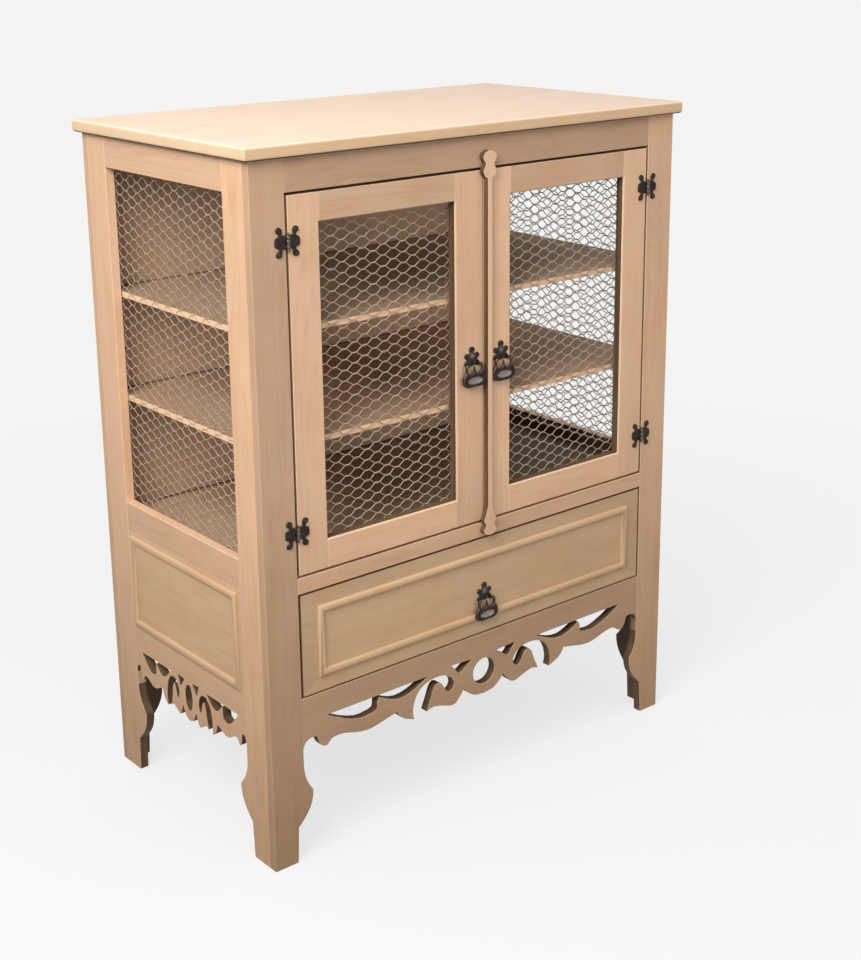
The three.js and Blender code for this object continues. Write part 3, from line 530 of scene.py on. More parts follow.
def add_stop(bm):
    """The strip behind the top rail that the doors close against. It closes the gap over them."""
    low, high = DOOR_BOX["left"][0].copy(), DOOR_BOX["right"][1].copy()
    low.y, high.y = high.y + STOP_CLEARANCE, high.y + STOP_CLEARANCE + STOP_THICK
    low.z, high.z = high.z - STOP_LAP, high.z + STOP_RISE
    scale = Matrix.Diagonal((*(high - low), 1))
    bmesh.ops.create_cube(bm, size=1, matrix=Matrix.Translation((low + high) / 2) @ scale)


def eased_copy(node):
    """A copy of a CAD board with eased arrises, and the set of faces that ease them."""
    bm = bmesh.new()
    bm.from_mesh(cad[node].data)
    if node == "front_top_rail":
        add_stop(bm)
    for layer in list(bm.loops.layers.uv):
        bm.loops.layers.uv.remove(layer)
    bmesh.ops.remove_doubles(bm, verts=bm.verts, dist=WELD_DISTANCE)
    bmesh.ops.dissolve_limit(bm, angle_limit=FLAT_ANGLE, verts=bm.verts, edges=bm.edges)
    sharp = [edge for edge in bm.edges if edge.is_manifold and edge.calc_face_angle(0.0) > BEVEL_ANGLE
             and not all(moulding_run(node, face.calc_center_median()) for face in edge.link_faces)]
    eased = bmesh.ops.bevel(bm, geom=sharp, offset=ARRIS, offset_type="OFFSET", segments=2, profile=0.5,
                            affect="EDGES", clamp_overlap=True)
    return bm, set(eased["faces"])


def paint_of(node, face, run, shown, tone, top):
    """The brightness and the tint of a face, with painted light on the shelves' front edges and the side
    openings' edges, a partly painted highlight on mouldings, and painted shade on the top board's front
    edge. top is the board's upper edge.
    """
    level = tone
    if run:
        # Paler moulding: partly its own colour, partly a painted highlight
        level *= MOULDING_TONE
    elif shown and node.startswith("shelf"):
        # Painted light on the shelves' front edges
        level *= SHELF_EDGE_LIGHT
    elif is_reveal(node, face.normal, face.calc_center_median()):
        # Painted light on the edges of the side openings
        level *= REVEAL_LIGHT
    if node == "drawer_front" and min(top - vert.co.z for vert in face.verts) < MARGIN_REACH:
        level *= MARGIN_TONE
    # The top board's front edge gets a darker tint than its ends, as painted shade
    if node == "top_board" and face.normal.z < TOP_EDGE_SLOPE:
        return level, TOP_FRONT_TINT if abs(face.normal.y) > abs(face.normal.x) else TOP_END_TINT
    return level, MOULDING_TINT if run else PLAIN_TINT


def mark_board(bm, node, rounded):
    """Writes the attributes that the wood's shader reads."""
    grain = bm.loops.layers.float_vector.new("grain")
    worn = bm.loops.layers.float.new("arris")
    stain = bm.loops.layers.float.new("stain")
    tint = bm.loops.layers.float_color.new("tone")
    lo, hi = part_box(node)
    middle = (lo + hi) / 2
    tone = tone_of(node)
    warm = dice.uniform(*WARMTH_SPREAD)
    pith = {axis: [dice.uniform(*spread) for spread in PITH_SPREADS] for axis in AXES}
    bm.normal_update()
    for face in bm.faces:
        centre = face.calc_center_median()
        run = moulding_run(node, centre)
        axis = run or grain_axis(node)
        a = AXES[axis]
        b, c = (i for i in range(3) if i != a)
        if hi[b] - lo[b] < hi[c] - lo[c]:
            b, c = c, b
        shift, across, deep = pith[axis]
        shown = is_shown(node, face.normal, centre)
        dark = stain_of(node, face.normal, centre)
        level, (red, green, blue) = paint_of(node, face, run, shown, tone, hi.z)
        for loop in face.loops:
            p = loop.vert.co - middle
            # Painted light and shade that slopes across the back panel and the cabinet floor
            here = level * (1 + LIGHT_SLOPES.get(node, 0) * p.x)
            loop[grain] = Vector((p[a] + shift, p[b] + across, p[c] + deep))
            loop[worn] = 1.0 if face in rounded and shown else 0.0
            loop[stain] = dark
            loop[tint] = (here * (1 + warm) * red, here * green, here * (1 - warm) * blue, 1.0)
        face.smooth = True


def board(node):
    """A board with eased arrises and a grain of its own, in the place of its CAD solid."""
    bm, rounded = eased_copy(node)
    mark_board(bm, node, rounded)
    mesh = bpy.data.meshes.new("wood_" + node)
    bm.to_mesh(mesh)
    bm.free()
    if "custom_normal" in mesh.attributes:
        mesh.attributes.remove(mesh.attributes["custom_normal"])
    mesh.set_sharp_from_angle(angle=SHARP_ANGLE)
    piece = new_piece("wood_" + node, mesh)
    weighted = piece.modifiers.new("even_normals", "WEIGHTED_NORMAL")
    weighted.weight = NORMAL_WEIGHT
    weighted.keep_sharp = True
    return dress(piece, node, slot_of[node])


for node in sorted(cad):
    if slot_of[node].startswith("pine"):
        board(node)

# ----------------------------------------------------------------------------------- wire netting

# The hexagons' pitch along and up, the length of the twists between them, and the wire
CELL_LONG = 0.0245
CELL_TALL = 0.0215
TWIST_LONG = 0.0135
TWIST_STEPS = 4
WIRE_RADIUS = 0.0011
WIRE_SIDES = 4

# How far the wire stays inside its solid, how far the net laps its frame, and how unevenly it lies
# along and up
NET_INSET = 0.0015
NET_LAP = 0.0085
NET_SAG = (0.0004, 0.0005)

# The staples: how far apart, how unevenly turned, and each one's half length, sunk foot, lift,
# shoulder as shares of half length and lift, wire, and direction on each edge
STAPLE_SPACING = 0.075
STAPLE_TILT = 0.35
STAPLE_HALF = 0.0048
STAPLE_FOOT = -0.0012
STAPLE_LIFT = 0.0013
STAPLE_SHOULDER = (0.8, 0.6)
STAPLE_RADIUS = 0.0005
STAPLE_SIDES = 5
STAPLE_ON_LEVEL_EDGE = (0.6, 0.8)
STAPLE_ON_UPRIGHT_EDGE = (0.8, 0.6)


def add_tube(verts, faces, points, radius, sides, across):
    """A closed tube along points. across is a direction that the path never takes."""
    start = len(verts)
    count = len(points)
    for i, p in enumerate(points):
        ahead = points[min(i + 1, count - 1)] - points[max(i - 1, 0)]
        side = ahead.cross(across).normalized()
        up = side.cross(ahead).normalized()
        for k in range(sides):
            turn = 2 * math.pi * (k + 0.5) / sides
            verts.append(p + radius * (math.cos(turn) * side + math.sin(turn) * up))
    for i in range(count - 1):
        for k in range(sides):
            a, b = start + i * sides + k, start + i * sides + (k + 1) % sides
            faces.append((a, b, b + sides, a + sides))
    faces.append(tuple(start + k for k in reversed(range(sides))))
    faces.append(tuple(start + (count - 1) * sides + k for k in range(sides)))


def net_paths(width, height):
    """The wires of a hexagonal net, whose twisted pairs lie level, as paths of (along, up, out)."""
    columns = round(width / CELL_LONG)
    levels = 2 * round(height / CELL_TALL)
    pitch, rise = width / columns, height / levels
    sag_along, sag_up = NET_SAG
    paths = []
    for wire in range(-1, levels + 1):
        path = []
        for column in range(columns + 1):
            upper = (wire + column) % 2 == 1
            level = min(max(wire + 1 if upper else wire, 0), levels)
            turn = math.pi * (-0.5 if upper else 0.5)
            drift = Vector((dice.gauss(0, sag_along), dice.gauss(0, sag_up), 0))
            for step in range(TWIST_STEPS + 1):
                along = column * pitch + TWIST_LONG * (step / TWIST_STEPS - 0.5)
                angle = turn + 2 * math.pi * step / TWIST_STEPS
                up, out = level * rise + WIRE_RADIUS * math.sin(angle), WIRE_RADIUS * math.cos(angle)
                path.append(Vector((along, up, out)) + drift)
        paths.append(path)
    return paths


def staple_spots(width, height):
    """Where the staples of a net stand, as (along, up), and the direction that each one runs in."""
    lap = NET_LAP / 2
    along = round(width / STAPLE_SPACING)
    up = round(height / STAPLE_SPACING)
    level = [(lap + (width - 2 * lap) * i / along, v, STAPLE_ON_LEVEL_EDGE)
             for i in range(along + 1) for v in (lap, height - lap)]
    upright = [(u, lap + (height - 2 * lap) * i / up, STAPLE_ON_UPRIGHT_EDGE)
               for i in range(1, up) for u in (lap, width - lap)]
    return level + upright


def staple_path(u, v, run):
    """A staple's crown and the tops of its legs, at (u, v) and along the direction run."""
    half, foot, lift = STAPLE_HALF, STAPLE_FOOT, STAPLE_LIFT
    crown, shoulder = half * STAPLE_SHOULDER[0], lift * STAPLE_SHOULDER[1]
    left = [(-half, foot), (-half, shoulder), (-crown, lift)]
    right = [(-s, out) for s, out in reversed(left)]
    return [Vector((u + run[0] * s, v + run[1] * s, out)) for s, out in left + right]


def net(node, axis, face, out):
    """Netting behind an opening. axis is its level axis, face its mounting level, and out the sign of its
    free side."""
    lo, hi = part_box(node)
    u, w = (0, 1) if axis == "x" else (1, 0)
    start, low = lo[u] + NET_INSET, lo[2] + NET_INSET
    width, height = hi[u] - lo[u] - 2 * NET_INSET, hi[2] - lo[2] - 2 * NET_INSET

    def place(p):
        q = Vector((0, 0, low + p.y))
        q[u] = start + p.x
        q[w] = face + out * (p.z + 2 * WIRE_RADIUS)
        return q

    normal = Vector((0, 0, 0))
    normal[w] = 1.0
    verts, faces = [], []
    for path in net_paths(width, height):
        points = [place(p) for p in path if 0 <= p.x <= width]
        add_tube(verts, faces, points, WIRE_RADIUS, WIRE_SIDES, normal)
    for along, up, run in staple_spots(width, height):
        course = Vector(run).normalized()
        course.rotate(Matrix.Rotation(dice.uniform(-STAPLE_TILT, STAPLE_TILT), 2))
        points = [place(p) for p in staple_path(along, up, course)]
        add_tube(verts, faces, points, STAPLE_RADIUS, STAPLE_SIDES, (points[-1] - points[0]).cross(normal))
    mesh = bpy.data.meshes.new("net_" + node)
    mesh.from_pydata([tuple(v) for v in verts], [], faces)
    mesh.shade_smooth()
    return dress(new_piece("net_" + node, mesh), node, "wire")


for side in SIDES:
    net(f"door_{side}_wire", "x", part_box(f"door_{side}_wire")[0].y, 1)
net("side_wire_left", "y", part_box("side_wire_left")[0].x, 1)
net("side_wire_right", "y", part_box("side_wire_right")[1].x, -1)

# ----------------------------------------------------------------------------------- ironwork

IRON_SHARP_ANGLE = math.radians(48)

# How a casting is rubbed: most at RIM_WEAR_PLACE of the way over its rounded edge, and all over
# where it is sunk by POLISH_DEPTH
RIM_WEAR = 0.35
RIM_WEAR_PLACE = 0.35
RIM_WEAR_WIDTH = 0.45
POLISH_DEPTH = 0.0012
TURNED_WEAR = 0.4
EAR_WEAR = 0.3

# The mesh of a casting's front: its pitch, the share of it that stays free along the outline, and
# the share of the thickness that the rounding takes at most
FACE_PITCH = 0.0013
RIM_FREE = 0.45
ROUND_SHARE = 0.85
SAME_POINT = 1e-7
TINY = 1e-12

# The steps of a curve between two of its points, of a half turn, and of a turned body
CURVE_STEPS = 3
HALF_TURN_STEPS = 12
TURNED_SIDES = 24


class Shape:
    """A small casting in its own frame: u across, v up and out towards the viewer. wear is 1 where it is
    rubbed."""

    def __init__(self):
        self.verts, self.wear, self.faces = [], [], []

    def add(self, verts, wear, faces):
        start = len(self.verts)
        self.verts += [Vector(v) for v in verts]
        self.wear += wear
        self.faces += [tuple(start + i for i in face) for face in faces]
        return self

    def stamp(self, other, u=0, v=0, out=0, turn=0.0):
        """Adds another shape at (u, v, out), turned in its plane."""
        spin = Matrix.Rotation(turn, 3, "Z")
        return self.add([spin @ p + Vector((u, v, out)) for p in other.verts], other.wear, other.faces)

    def piece(self, node, origin, mirror=False):
        """Places the shape on the front of the cupboard, for one CAD node."""
        sign = -1 if mirror else 1
        verts = [(origin[0] + sign * p.x, origin[1] - p.z, origin[2] + p.y) for p in self.verts]
        faces = [face[::-1] for face in self.faces] if mirror else self.faces
        mesh = bpy.data.meshes.new("iron_" + node)
        mesh.from_pydata(verts, [], faces)
        mesh.attributes.new("arris", "FLOAT", "POINT").data.foreach_set("value", self.wear)
        mesh.shade_smooth()
        mesh.set_sharp_from_angle(angle=IRON_SHARP_ANGLE)
        return dress(new_piece("iron_" + node, mesh), node, "iron")


def curve_through(points):
    """A closed Catmull-Rom curve through points."""
    count = len(points)
    line = []
    for i in range(count):
        p0, p1, p2, p3 = (points[(i + k) % count] for k in (-1, 0, 1, 2))
        for step in range(CURVE_STEPS):
            t = step / CURVE_STEPS
            line.append(0.5 * (2 * p1 + (p2 - p0) * t + (2 * p0 - 5 * p1 + 4 * p2 - p3) * t * t
                               + (3 * p1 - p0 - 3 * p2 + p3) * t ** 3))
    return line


def symmetric(shares, half_width, height):
    """The curve through the right half's points and their mirror images."""
    right = [Vector((s * half_width, t * height)) for s, t in shares]
    return curve_through(right + [Vector((-p.x, p.y)) for p in reversed(right[1:-1])])


def edges_of(outline):
    return zip(outline, outline[1:] + outline[:1])


def wound_left(outline):
    """The outline, wound anticlockwise."""
    area = sum(a.x * b.y - b.x * a.y for a, b in edges_of(outline))
    return outline if area > 0 else outline[::-1]


def edge_distance(p, outline):
    def distance(a, b):
        along = b - a
        t = min(max((p - a).dot(along) / max(along.length_squared, TINY), 0.0), 1.0)
        return (a + along * t - p).length
    return min(distance(a, b) for a, b in edges_of(outline))


def is_inside(p, outline):
    inside = False
    for a, b in edges_of(outline):
        if (a.y > p.y) != (b.y > p.y) and p.x < a.x + (p.y - a.y) / (b.y - a.y) * (b.x - a.x):
            inside = not inside
    return inside


def points_within(outline, pitch):
    """Rows of staggered points inside an outline, clear of its edge."""
    lows = [min(p[i] for p in outline) for i in (0, 1)]
    highs = [max(p[i] for p in outline) for i in (0, 1)]
    rows = int((highs[1] - lows[1]) / pitch) + 1
    columns = int((highs[0] - lows[0]) / pitch) + 1
    found = []
    for row in range(rows):
        for column in range(columns + 1):
            p = Vector((lows[0] + (column + 0.5 * (row % 2)) * pitch, lows[1] + (row + 0.5) * pitch))
            if is_inside(p, outline) and edge_distance(p, outline) > pitch * RIM_FREE:
                found.append(p)
    return found


def pillow(outline, back, front, round_over, pitch=FACE_PITCH, dish=None):
    """A plate whose front edge is rounded over. dish(u, v) is how far its front is sunk. Hands polish what
    is sunk."""
    outline = wound_left(outline)
    count = len(outline)
    rim = [(i, (i + 1) % count) for i in range(count)]
    flat, _, faces, *_ = delaunay_2d_cdt(outline + points_within(outline, pitch), rim, [], 1, SAME_POINT)
    deep = min(round_over, ROUND_SHARE * (front - back))
    verts, wear = [], []
    for p in flat:
        t = min(edge_distance(p, outline) / round_over, 1.0)
        hollow = dish(p.x, p.y) if dish else 0.0
        verts.append((p.x, p.y, front - hollow - deep * (1 - math.sqrt(1 - (1 - t) ** 2))))
        rim_wear = RIM_WEAR * (1 - abs(t - RIM_WEAR_PLACE) / RIM_WEAR_WIDTH)
        wear.append(max(rim_wear, min(hollow / POLISH_DEPTH, 1.0), 0.0))
    shape = Shape().add(verts, wear, faces)
    low = [(p.x, p.y, front - deep) for p in outline] + [(p.x, p.y, back) for p in outline]
    walls = [(count + i, count + j, j, i) for i, j in rim]
    return shape.add(low, [0.0] * len(low), walls + [tuple(count + i for i in reversed(range(count)))])


def loft(rings, wear):
    """The points, the wear and the faces of a closed body through rings of equally many points."""
    count = len(rings[0])
    faces = []
    for i in range(len(rings) - 1):
        for k in range(count):
            n = (k + 1) % count
            faces.append(((i + 1) * count + k, (i + 1) * count + n, i * count + n, i * count + k))
    faces.append(tuple(range(count)))
    faces.append(tuple((len(rings) - 1) * count + k for k in reversed(range(count))))
    verts = [p for ring in rings for p in ring]
    return verts, [wear] * len(verts), faces


def turned(profile, axis, sides=TURNED_SIDES):
    """A body turned about the axis u or v from (radius, place) pairs."""
    angles = [2 * math.pi * k / sides for k in range(sides)]
    rings = []
    for r, place in profile:
        ring = [(r * math.cos(angle), r * math.sin(angle)) for angle in angles]
        rings.append([(place, a, b) if axis == "u" else (a, place, -b) for a, b in ring])
    return Shape().add(*loft(rings, TURNED_WEAR))


# Screws: the radius, half the width of the slot, the two halves of the dome and the disc under the
# slot, and how far the slots turn by chance
SCREW_RADIUS = 0.0023
SLOT_HALF = 0.0003
SCREW_DOME = {"back": 0.0, "front": 0.0011, "round_over": 0.0012, "pitch": 0.0008}
SCREW_DISC = {"back": -0.0004, "front": 0.0003, "round_over": 0.0003, "pitch": 0.0012}
SCREW_TURNS = (0, 3)


def screw_head():
    """A domed head with a slot, standing on its face."""
    angles = [math.pi * k / HALF_TURN_STEPS for k in range(2 * HALF_TURN_STEPS)]
    disc = [Vector((SCREW_RADIUS * math.cos(a), SCREW_RADIUS * math.sin(a))) for a in angles]
    half = [Vector((p.x, max(p.y, SLOT_HALF))) for p in disc[:HALF_TURN_STEPS + 1]]
    head = Shape()
    for turn in (0, math.pi):
        head.stamp(pillow(half, **SCREW_DOME), turn=turn)
    return head.stamp(pillow(disc, **SCREW_DISC))


SCREW = screw_head()


def add_screw(shape, u, v, out):
    shape.stamp(SCREW, u, v, out, dice.uniform(*SCREW_TURNS))


# Hinges, about their axis: the leaf's reach, half height, back, front, rise over that front and
# rounding, and its outline's upper half and its screws as shares of reach and half height
LEAF_REACH = 0.028
LEAF_HALF = 0.0285
LEAF_BACK = -0.0045
LEAF_FRONT = -0.0020
LEAF_RISE = 0.0004
LEAF_ROUND = 0.0016
LEAF_SHARES = [
    (0.16, 0.42), (0.34, 0.44), (0.42, 0.6), (0.42, 0.82), (0.54, 0.96), (0.7, 1), (0.86, 0.93),
    (0.92, 0.78), (0.84, 0.62), (0.7, 0.52), (0.7, 0.42), (0.84, 0.34), (0.97, 0.26), (1, 0.1),
]
LEAF_SCREW = (0.67, 0.78)

# The knuckles: half the height of the middle one and of the barrel, the gap between them, their
# radius and its ease
KNUCKLE = 0.00475
BARREL = 0.013
KNUCKLE_GAP = 0.0003
KNUCKLE_RADIUS = 0.0039
KNUCKLE_EASE = 0.0005

# The web that joins a knuckle to its leaf: from and to the axis, its inset, how proud of the leaf,
# and its rounding
WEB_FROM = 0.0012
WEB_TO = 0.0075
WEB_INSET = 0.0005
WEB_RISE = 0.0009
WEB_ROUND = 0.0006
WEB_PITCH = 0.002

# The balls at the ends of the pin: radius, height of the centre over the barrel, and the part of
# the arc that shows
BALL_RADIUS = 0.0030
BALL_RISE = 0.0021
BALL_ARC = (0.25, 0.74)
BALL_STEPS = 8


def knuckle(low, high):
    r, ease = KNUCKLE_RADIUS, KNUCKLE_EASE
    return turned([(r - ease, low), (r, low + ease), (r, high - ease), (r - ease, high)], "v")


def web(low, high):
    low, high = low + WEB_INSET, high - WEB_INSET
    corners = ((WEB_FROM, low), (WEB_TO, low), (WEB_TO, high), (WEB_FROM, high))
    outline = [Vector(corner) for corner in corners]
    return pillow(outline, LEAF_BACK + WEB_INSET, LEAF_FRONT + WEB_RISE, WEB_ROUND, WEB_PITCH)


def pin_balls():
    """The profiles of the balls over and under the barrel."""
    begin, sweep = BALL_ARC
    angles = [math.pi * (begin + sweep * k / BALL_STEPS) for k in range(BALL_STEPS + 1)]
    upper = [(BALL_RADIUS * math.sin(a), BARREL + BALL_RISE - BALL_RADIUS * math.cos(a)) for a in angles]
    return [(r, -v) for r, v in reversed(upper)], upper


def hinge_leaf(for_frame):
    """A scrolled leaf to the right of the axis. The frame's has the outer knuckles and the pin, and the
    door's the middle knuckle."""
    upper = [Vector((s * LEAF_REACH, t * LEAF_HALF)) for s, t in LEAF_SHARES]
    outline = curve_through(upper + [Vector((p.x, -p.y)) for p in reversed(upper)])
    face = LEAF_FRONT + LEAF_RISE
    leaf = pillow(outline, LEAF_BACK, face, LEAF_ROUND)
    for side in (-1, 1):
        add_screw(leaf, LEAF_SCREW[0] * LEAF_REACH, side * LEAF_SCREW[1] * LEAF_HALF, face)
    outer = KNUCKLE + KNUCKLE_GAP
    for low, high in [(-BARREL, -outer), (outer, BARREL)] if for_frame else [(-KNUCKLE, KNUCKLE)]:
        leaf.stamp(knuckle(low, high))
        leaf.stamp(web(low, high))
    if for_frame:
        for profile in pin_balls():
            leaf.stamp(turned(profile, "v"))
    return leaf


joint_place = {joint["name"]: joint.get("pos_m") for joint in record["behaviour"]["joints"]}
frame_leaf, door_leaf = hinge_leaf(True), hinge_leaf(False)
for side in SIDES:
    axis = joint_place[f"door_{side}_hinge"]
    for height in ("lower", "upper"):
        for node, leaf in ((f"hinge_leaf_frame_{height}_{side}", frame_leaf),
                           (f"hinge_leaf_door_{side}_{height}", door_leaf)):
            lo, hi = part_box(node)
            mirror = (leaf is frame_leaf) == (side == "left")
            leaf.piece(node, (axis[0], axis[1], (lo.z + hi.z) / 2), mirror)

# Drop pulls, about their pivot: the plate's half width, height, back, front and rounding, its
# outline's right half as shares of half width and height, and the place of its right screw
PULL_HALF = 0.0205
PULL_ABOVE = 0.037
PLATE_BACK = -0.0105
PLATE_FRONT = -0.0075
PLATE_ROUND = 0.0024
PLATE_SHARES = [
    (0, -0.12), (0.24, -0.08), (0.43, -0.05), (0.62, -0.11), (0.86, -0.07), (0.98, 0.05), (0.95, 0.16),
    (0.78, 0.22), (0.68, 0.26), (0.72, 0.32), (0.86, 0.37), (0.97, 0.45), (0.96, 0.56), (0.83, 0.64),
    (0.64, 0.65), (0.48, 0.61), (0.36, 0.63), (0.30, 0.70), (0.36, 0.78), (0.38, 0.87), (0.28, 0.955),
    (0.12, 0.995), (0, 1),
]
PLATE_SCREW = (0.0075, 0.0035)

# The plate's shallow dish: its depth, its height over the pivot and its radius
PLATE_DISH_DEPTH = 0.0009
PLATE_DISH_HEIGHT = 0.019
PLATE_DISH_RADIUS = 0.0055

# The plate's ears: their inner and outer ends, radius, eased length and the radius share at it, and
# sunk foot
EAR_ENDS = (0.0155, 0.0185)
EAR_RADIUS = 0.0033
EAR_EASE = 0.0004
EAR_EASED = 0.88
EAR_FOOT = PLATE_FRONT - 0.001

# The bail: its half width, drop, half thickness and rounding, and its outline's right half as
# shares of half width and drop
BAIL_HALF = 0.031
BAIL_DROP = 0.046
BAIL_THICK_HALF = 0.0025
BAIL_ROUND = 0.0026
BAIL_SHARES = [
    (0, -0.04), (0.055, -0.09), (0.08, -0.19), (0.11, -0.29), (0.19, -0.37), (0.32, -0.405),
    (0.46, -0.38), (0.55, -0.29), (0.585, -0.17), (0.6, -0.05), (0.61, 0.08), (0.70, 0.05),
    (0.765, -0.05), (0.76, -0.18), (0.77, -0.31), (0.85, -0.39), (0.96, -0.49), (1, -0.64),
    (0.97, -0.79), (0.82, -0.92), (0.48, -1), (0, -1),
]

# The dish in the bail's pad: its depth, the height of its middle, its half width and half height,
# and its fullness
PAD_DEPTH = 0.0028
PAD_HEIGHT = -0.0322
PAD_HALF = (0.0205, 0.0080)
PAD_FULLNESS = 0.8

# The bail's pins: their ends, radii and eased length
PIN_ENDS = (0.0151, 0.0215)
PIN_RADII = (0.0012, 0.0015)
PIN_EASE = 0.0003
PIN_SIDES = 16


def plate_dish(u, v):
    return PLATE_DISH_DEPTH * math.exp(
        -(u / PLATE_DISH_RADIUS) ** 2 - ((v - PLATE_DISH_HEIGHT) / PLATE_DISH_RADIUS) ** 2)


def pad_dish(u, v):
    reach = (u / PAD_HALF[0]) ** 2 + ((v - PAD_HEIGHT) / PAD_HALF[1]) ** 2
    return PAD_DEPTH * max(0.0, 1 - reach) ** PAD_FULLNESS


def ear_ring(u, radius):
    """An ear's cross-section: half round in front, and straight sides down to its foot."""
    angles = [math.pi * (k / HALF_TURN_STEPS - 0.5) for k in range(HALF_TURN_STEPS + 1)]
    front = [(u, radius * math.sin(a), radius * math.cos(a)) for a in angles]
    return [(u, -radius, EAR_FOOT)] + front + [(u, radius, EAR_FOOT)]


def pull_plate():
    """The trefoil backplate, with two screws and the two ears that hold the bail's pins."""
    outline = symmetric(PLATE_SHARES, PULL_HALF, PULL_ABOVE)
    plate = pillow(outline, PLATE_BACK, PLATE_FRONT, PLATE_ROUND, dish=plate_dish)
    for side in (-1, 1):
        add_screw(plate, side * PLATE_SCREW[0], PLATE_SCREW[1], PLATE_FRONT)
    for side in (-1, 1):
        begin, end = sorted(side * u for u in EAR_ENDS)
        eased = EAR_RADIUS * EAR_EASED
        rings = [ear_ring(begin, eased), ear_ring(begin + EAR_EASE, EAR_RADIUS),
                 ear_ring(end - EAR_EASE, EAR_RADIUS), ear_ring(end, eased)]
        plate.add(*loft(rings, EAR_WEAR))
    return plate


def pull_bail():
    """The bail hangs from two pins; its pad is dished for the fingertip."""
    outline = symmetric(BAIL_SHARES, BAIL_HALF, BAIL_DROP)
    bail = pillow(outline, -BAIL_THICK_HALF, BAIL_THICK_HALF, BAIL_ROUND, dish=pad_dish)
    for side in (-1, 1):
        begin, end = sorted(side * u for u in PIN_ENDS)
        tip, full = PIN_RADII
        bail.stamp(turned([(tip, begin), (full, begin + PIN_EASE), (full, end)], "u", PIN_SIDES))
    return bail


plate, bail = pull_plate(), pull_bail()
for name, swing in (("door_left", "bail_left_swing"), ("door_right", "bail_right_swing"),
                    ("drawer", "bail_drawer_swing")):
    plate.piece(f"pull_plate_{name}", joint_place[swing])
    bail.piece(f"pull_bail_{name}", joint_place[swing])

# ----------------------------------------------------------------------------------- stage and light

# The backdrop's grey, the light that the near floor gets, the grey that lights the object from
# below, and the sky
PAPER = 0.905
FLOOR_LIGHT = 1.07
FLOOR_BOUNCE = 0.15
HORIZON_LIGHT = 0.42
ZENITH_LIGHT = 0.80

# The floor: half its size, the distances over which its shadows fade out, and how strong they are
# at most
FLOOR_HALF = 60.0
SHADOW_FADE = (0.9, 3.0)
SHADOW_SHARE = 0.20

# Each lamp's place, what it looks at, its width and its power in watts
LAMPS = {
    "key": {"place": (-2.85, -1.45, 3.3), "target": (0, 0, 1.0), "size": 2.4, "power": 152},
    "fill": {"place": (0.3, -3.7, 1.3), "target": (0, 0, 0.95), "size": 2.2, "power": 27},
}


def stage_floor():
    """A pale floor that keeps a light shadow and fades into the backdrop away from the cupboard."""
    far = FLOOR_HALF
    mesh = bpy.data.meshes.new("floor")
    mesh.from_pydata([(-far, -far, 0), (far, -far, 0), (far, far, 0), (-far, far, 0)], [], [(0, 1, 2, 3)])
    floor = new_piece("floor", mesh)
    g = MaterialGraph("stage_floor")
    g.tree.nodes.remove(g.shader)
    away = g.add("ShaderNodeVectorMath", {0: g.object_place()}, operation="LENGTH").outputs["Value"]
    near = g.math("MULTIPLY", g.math("SUBTRACT", 1.0, g.ramp(away, *SHADOW_FADE)), SHADOW_SHARE)
    paper = g.add("ShaderNodeEmission", {"Color": grey(PAPER), "Strength": 1.0}).outputs[0]
    lit = g.add("ShaderNodeBsdfDiffuse", {"Color": grey(PAPER / FLOOR_LIGHT)}).outputs[0]
    seen = g.add("ShaderNodeMixShader", {0: near, 1: paper, 2: lit}).outputs[0]
    dull = g.add("ShaderNodeBsdfDiffuse", {"Color": grey(FLOOR_BOUNCE)}).outputs[0]
    final = g.add("ShaderNodeMixShader", {0: g.shows_backdrop(), 1: dull, 2: seen}).outputs[0]
    g.put(g.tree.nodes["Material Output"].inputs["Surface"], final)
    mesh.materials.append(g.material)


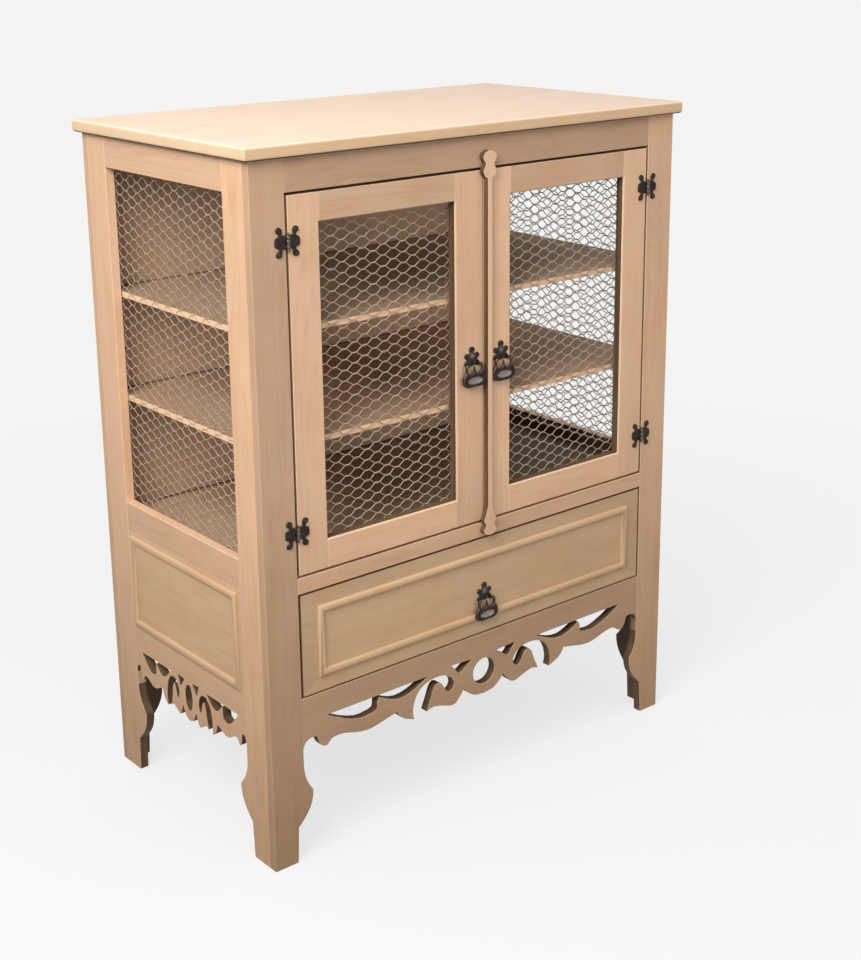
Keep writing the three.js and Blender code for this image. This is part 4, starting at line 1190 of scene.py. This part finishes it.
def soft_world():
    """Light that grows from the horizon to the zenith, and a pale backdrop where it is seen."""
    world = bpy.data.worlds.new("studio")
    bpy.context.scene.world = world
    world.use_nodes = True
    g = Graph(world.node_tree)
    direction = g.add("ShaderNodeTexCoord").outputs["Generated"]
    height = g.add("ShaderNodeSeparateXYZ", {0: direction}).outputs["Z"]
    sky = g.ramp(height, 0.0, 1.0, HORIZON_LIGHT, ZENITH_LIGHT)
    background = g.tree.nodes["Background"]
    g.put(background.inputs["Color"], g.mix(g.shows_backdrop(), sky, grey(PAPER)))
    g.put(background.inputs["Strength"], 1.0)


def lamp(name, place, target, size, power):
    """A round soft lamp that looks at its target."""
    light = bpy.data.lights.new(name, "AREA")
    light.shape = "DISK"
    light.size = size
    light.energy = power
    holder = new_piece(name, light)
    holder.location = place
    holder.rotation_euler = (Vector(target) - Vector(place)).to_track_quat("-Z", "Y").to_euler()


stage_floor()
soft_world()
for name, values in LAMPS.items():
    lamp(name, **values)

# ----------------------------------------------------------------------------------- camera

# Fitted to the cupboard's edges in the photo, with only a part of its lens shift
CAMERA_PLACE = Vector((-2.0871, -2.6792, 1.8070))
CAMERA_YAW = math.radians(39.377)
CAMERA_PITCH = math.radians(-15.447)
CAMERA_ROLL = math.radians(-0.620)
CAMERA_LENS = 59.69
CAMERA_SENSOR = 36
CAMERA_SHIFT_Y = -0.1104
CAMERA_FAR = 200


def photo_camera():
    yaw, pitch, roll = CAMERA_YAW, CAMERA_PITCH, CAMERA_ROLL
    ahead = Vector((math.sin(yaw) * math.cos(pitch), math.cos(yaw) * math.cos(pitch), math.sin(pitch)))
    level = Vector((math.cos(yaw), -math.sin(yaw), 0))
    rise = level.cross(ahead)
    right = level * math.cos(roll) + rise * math.sin(roll)
    up = rise * math.cos(roll) - level * math.sin(roll)
    camera = new_piece("camera", bpy.data.cameras.new("camera"))
    turn = Matrix((right, up, -ahead)).transposed().to_4x4()
    camera.matrix_world = Matrix.Translation(CAMERA_PLACE) @ turn
    camera.data.sensor_width = CAMERA_SENSOR
    camera.data.lens = CAMERA_LENS
    camera.data.shift_y = CAMERA_SHIFT_Y
    camera.data.clip_end = CAMERA_FAR
    return camera


bpy.context.scene.camera = photo_camera()
bpy.context.scene.view_settings.view_transform = "Standard"
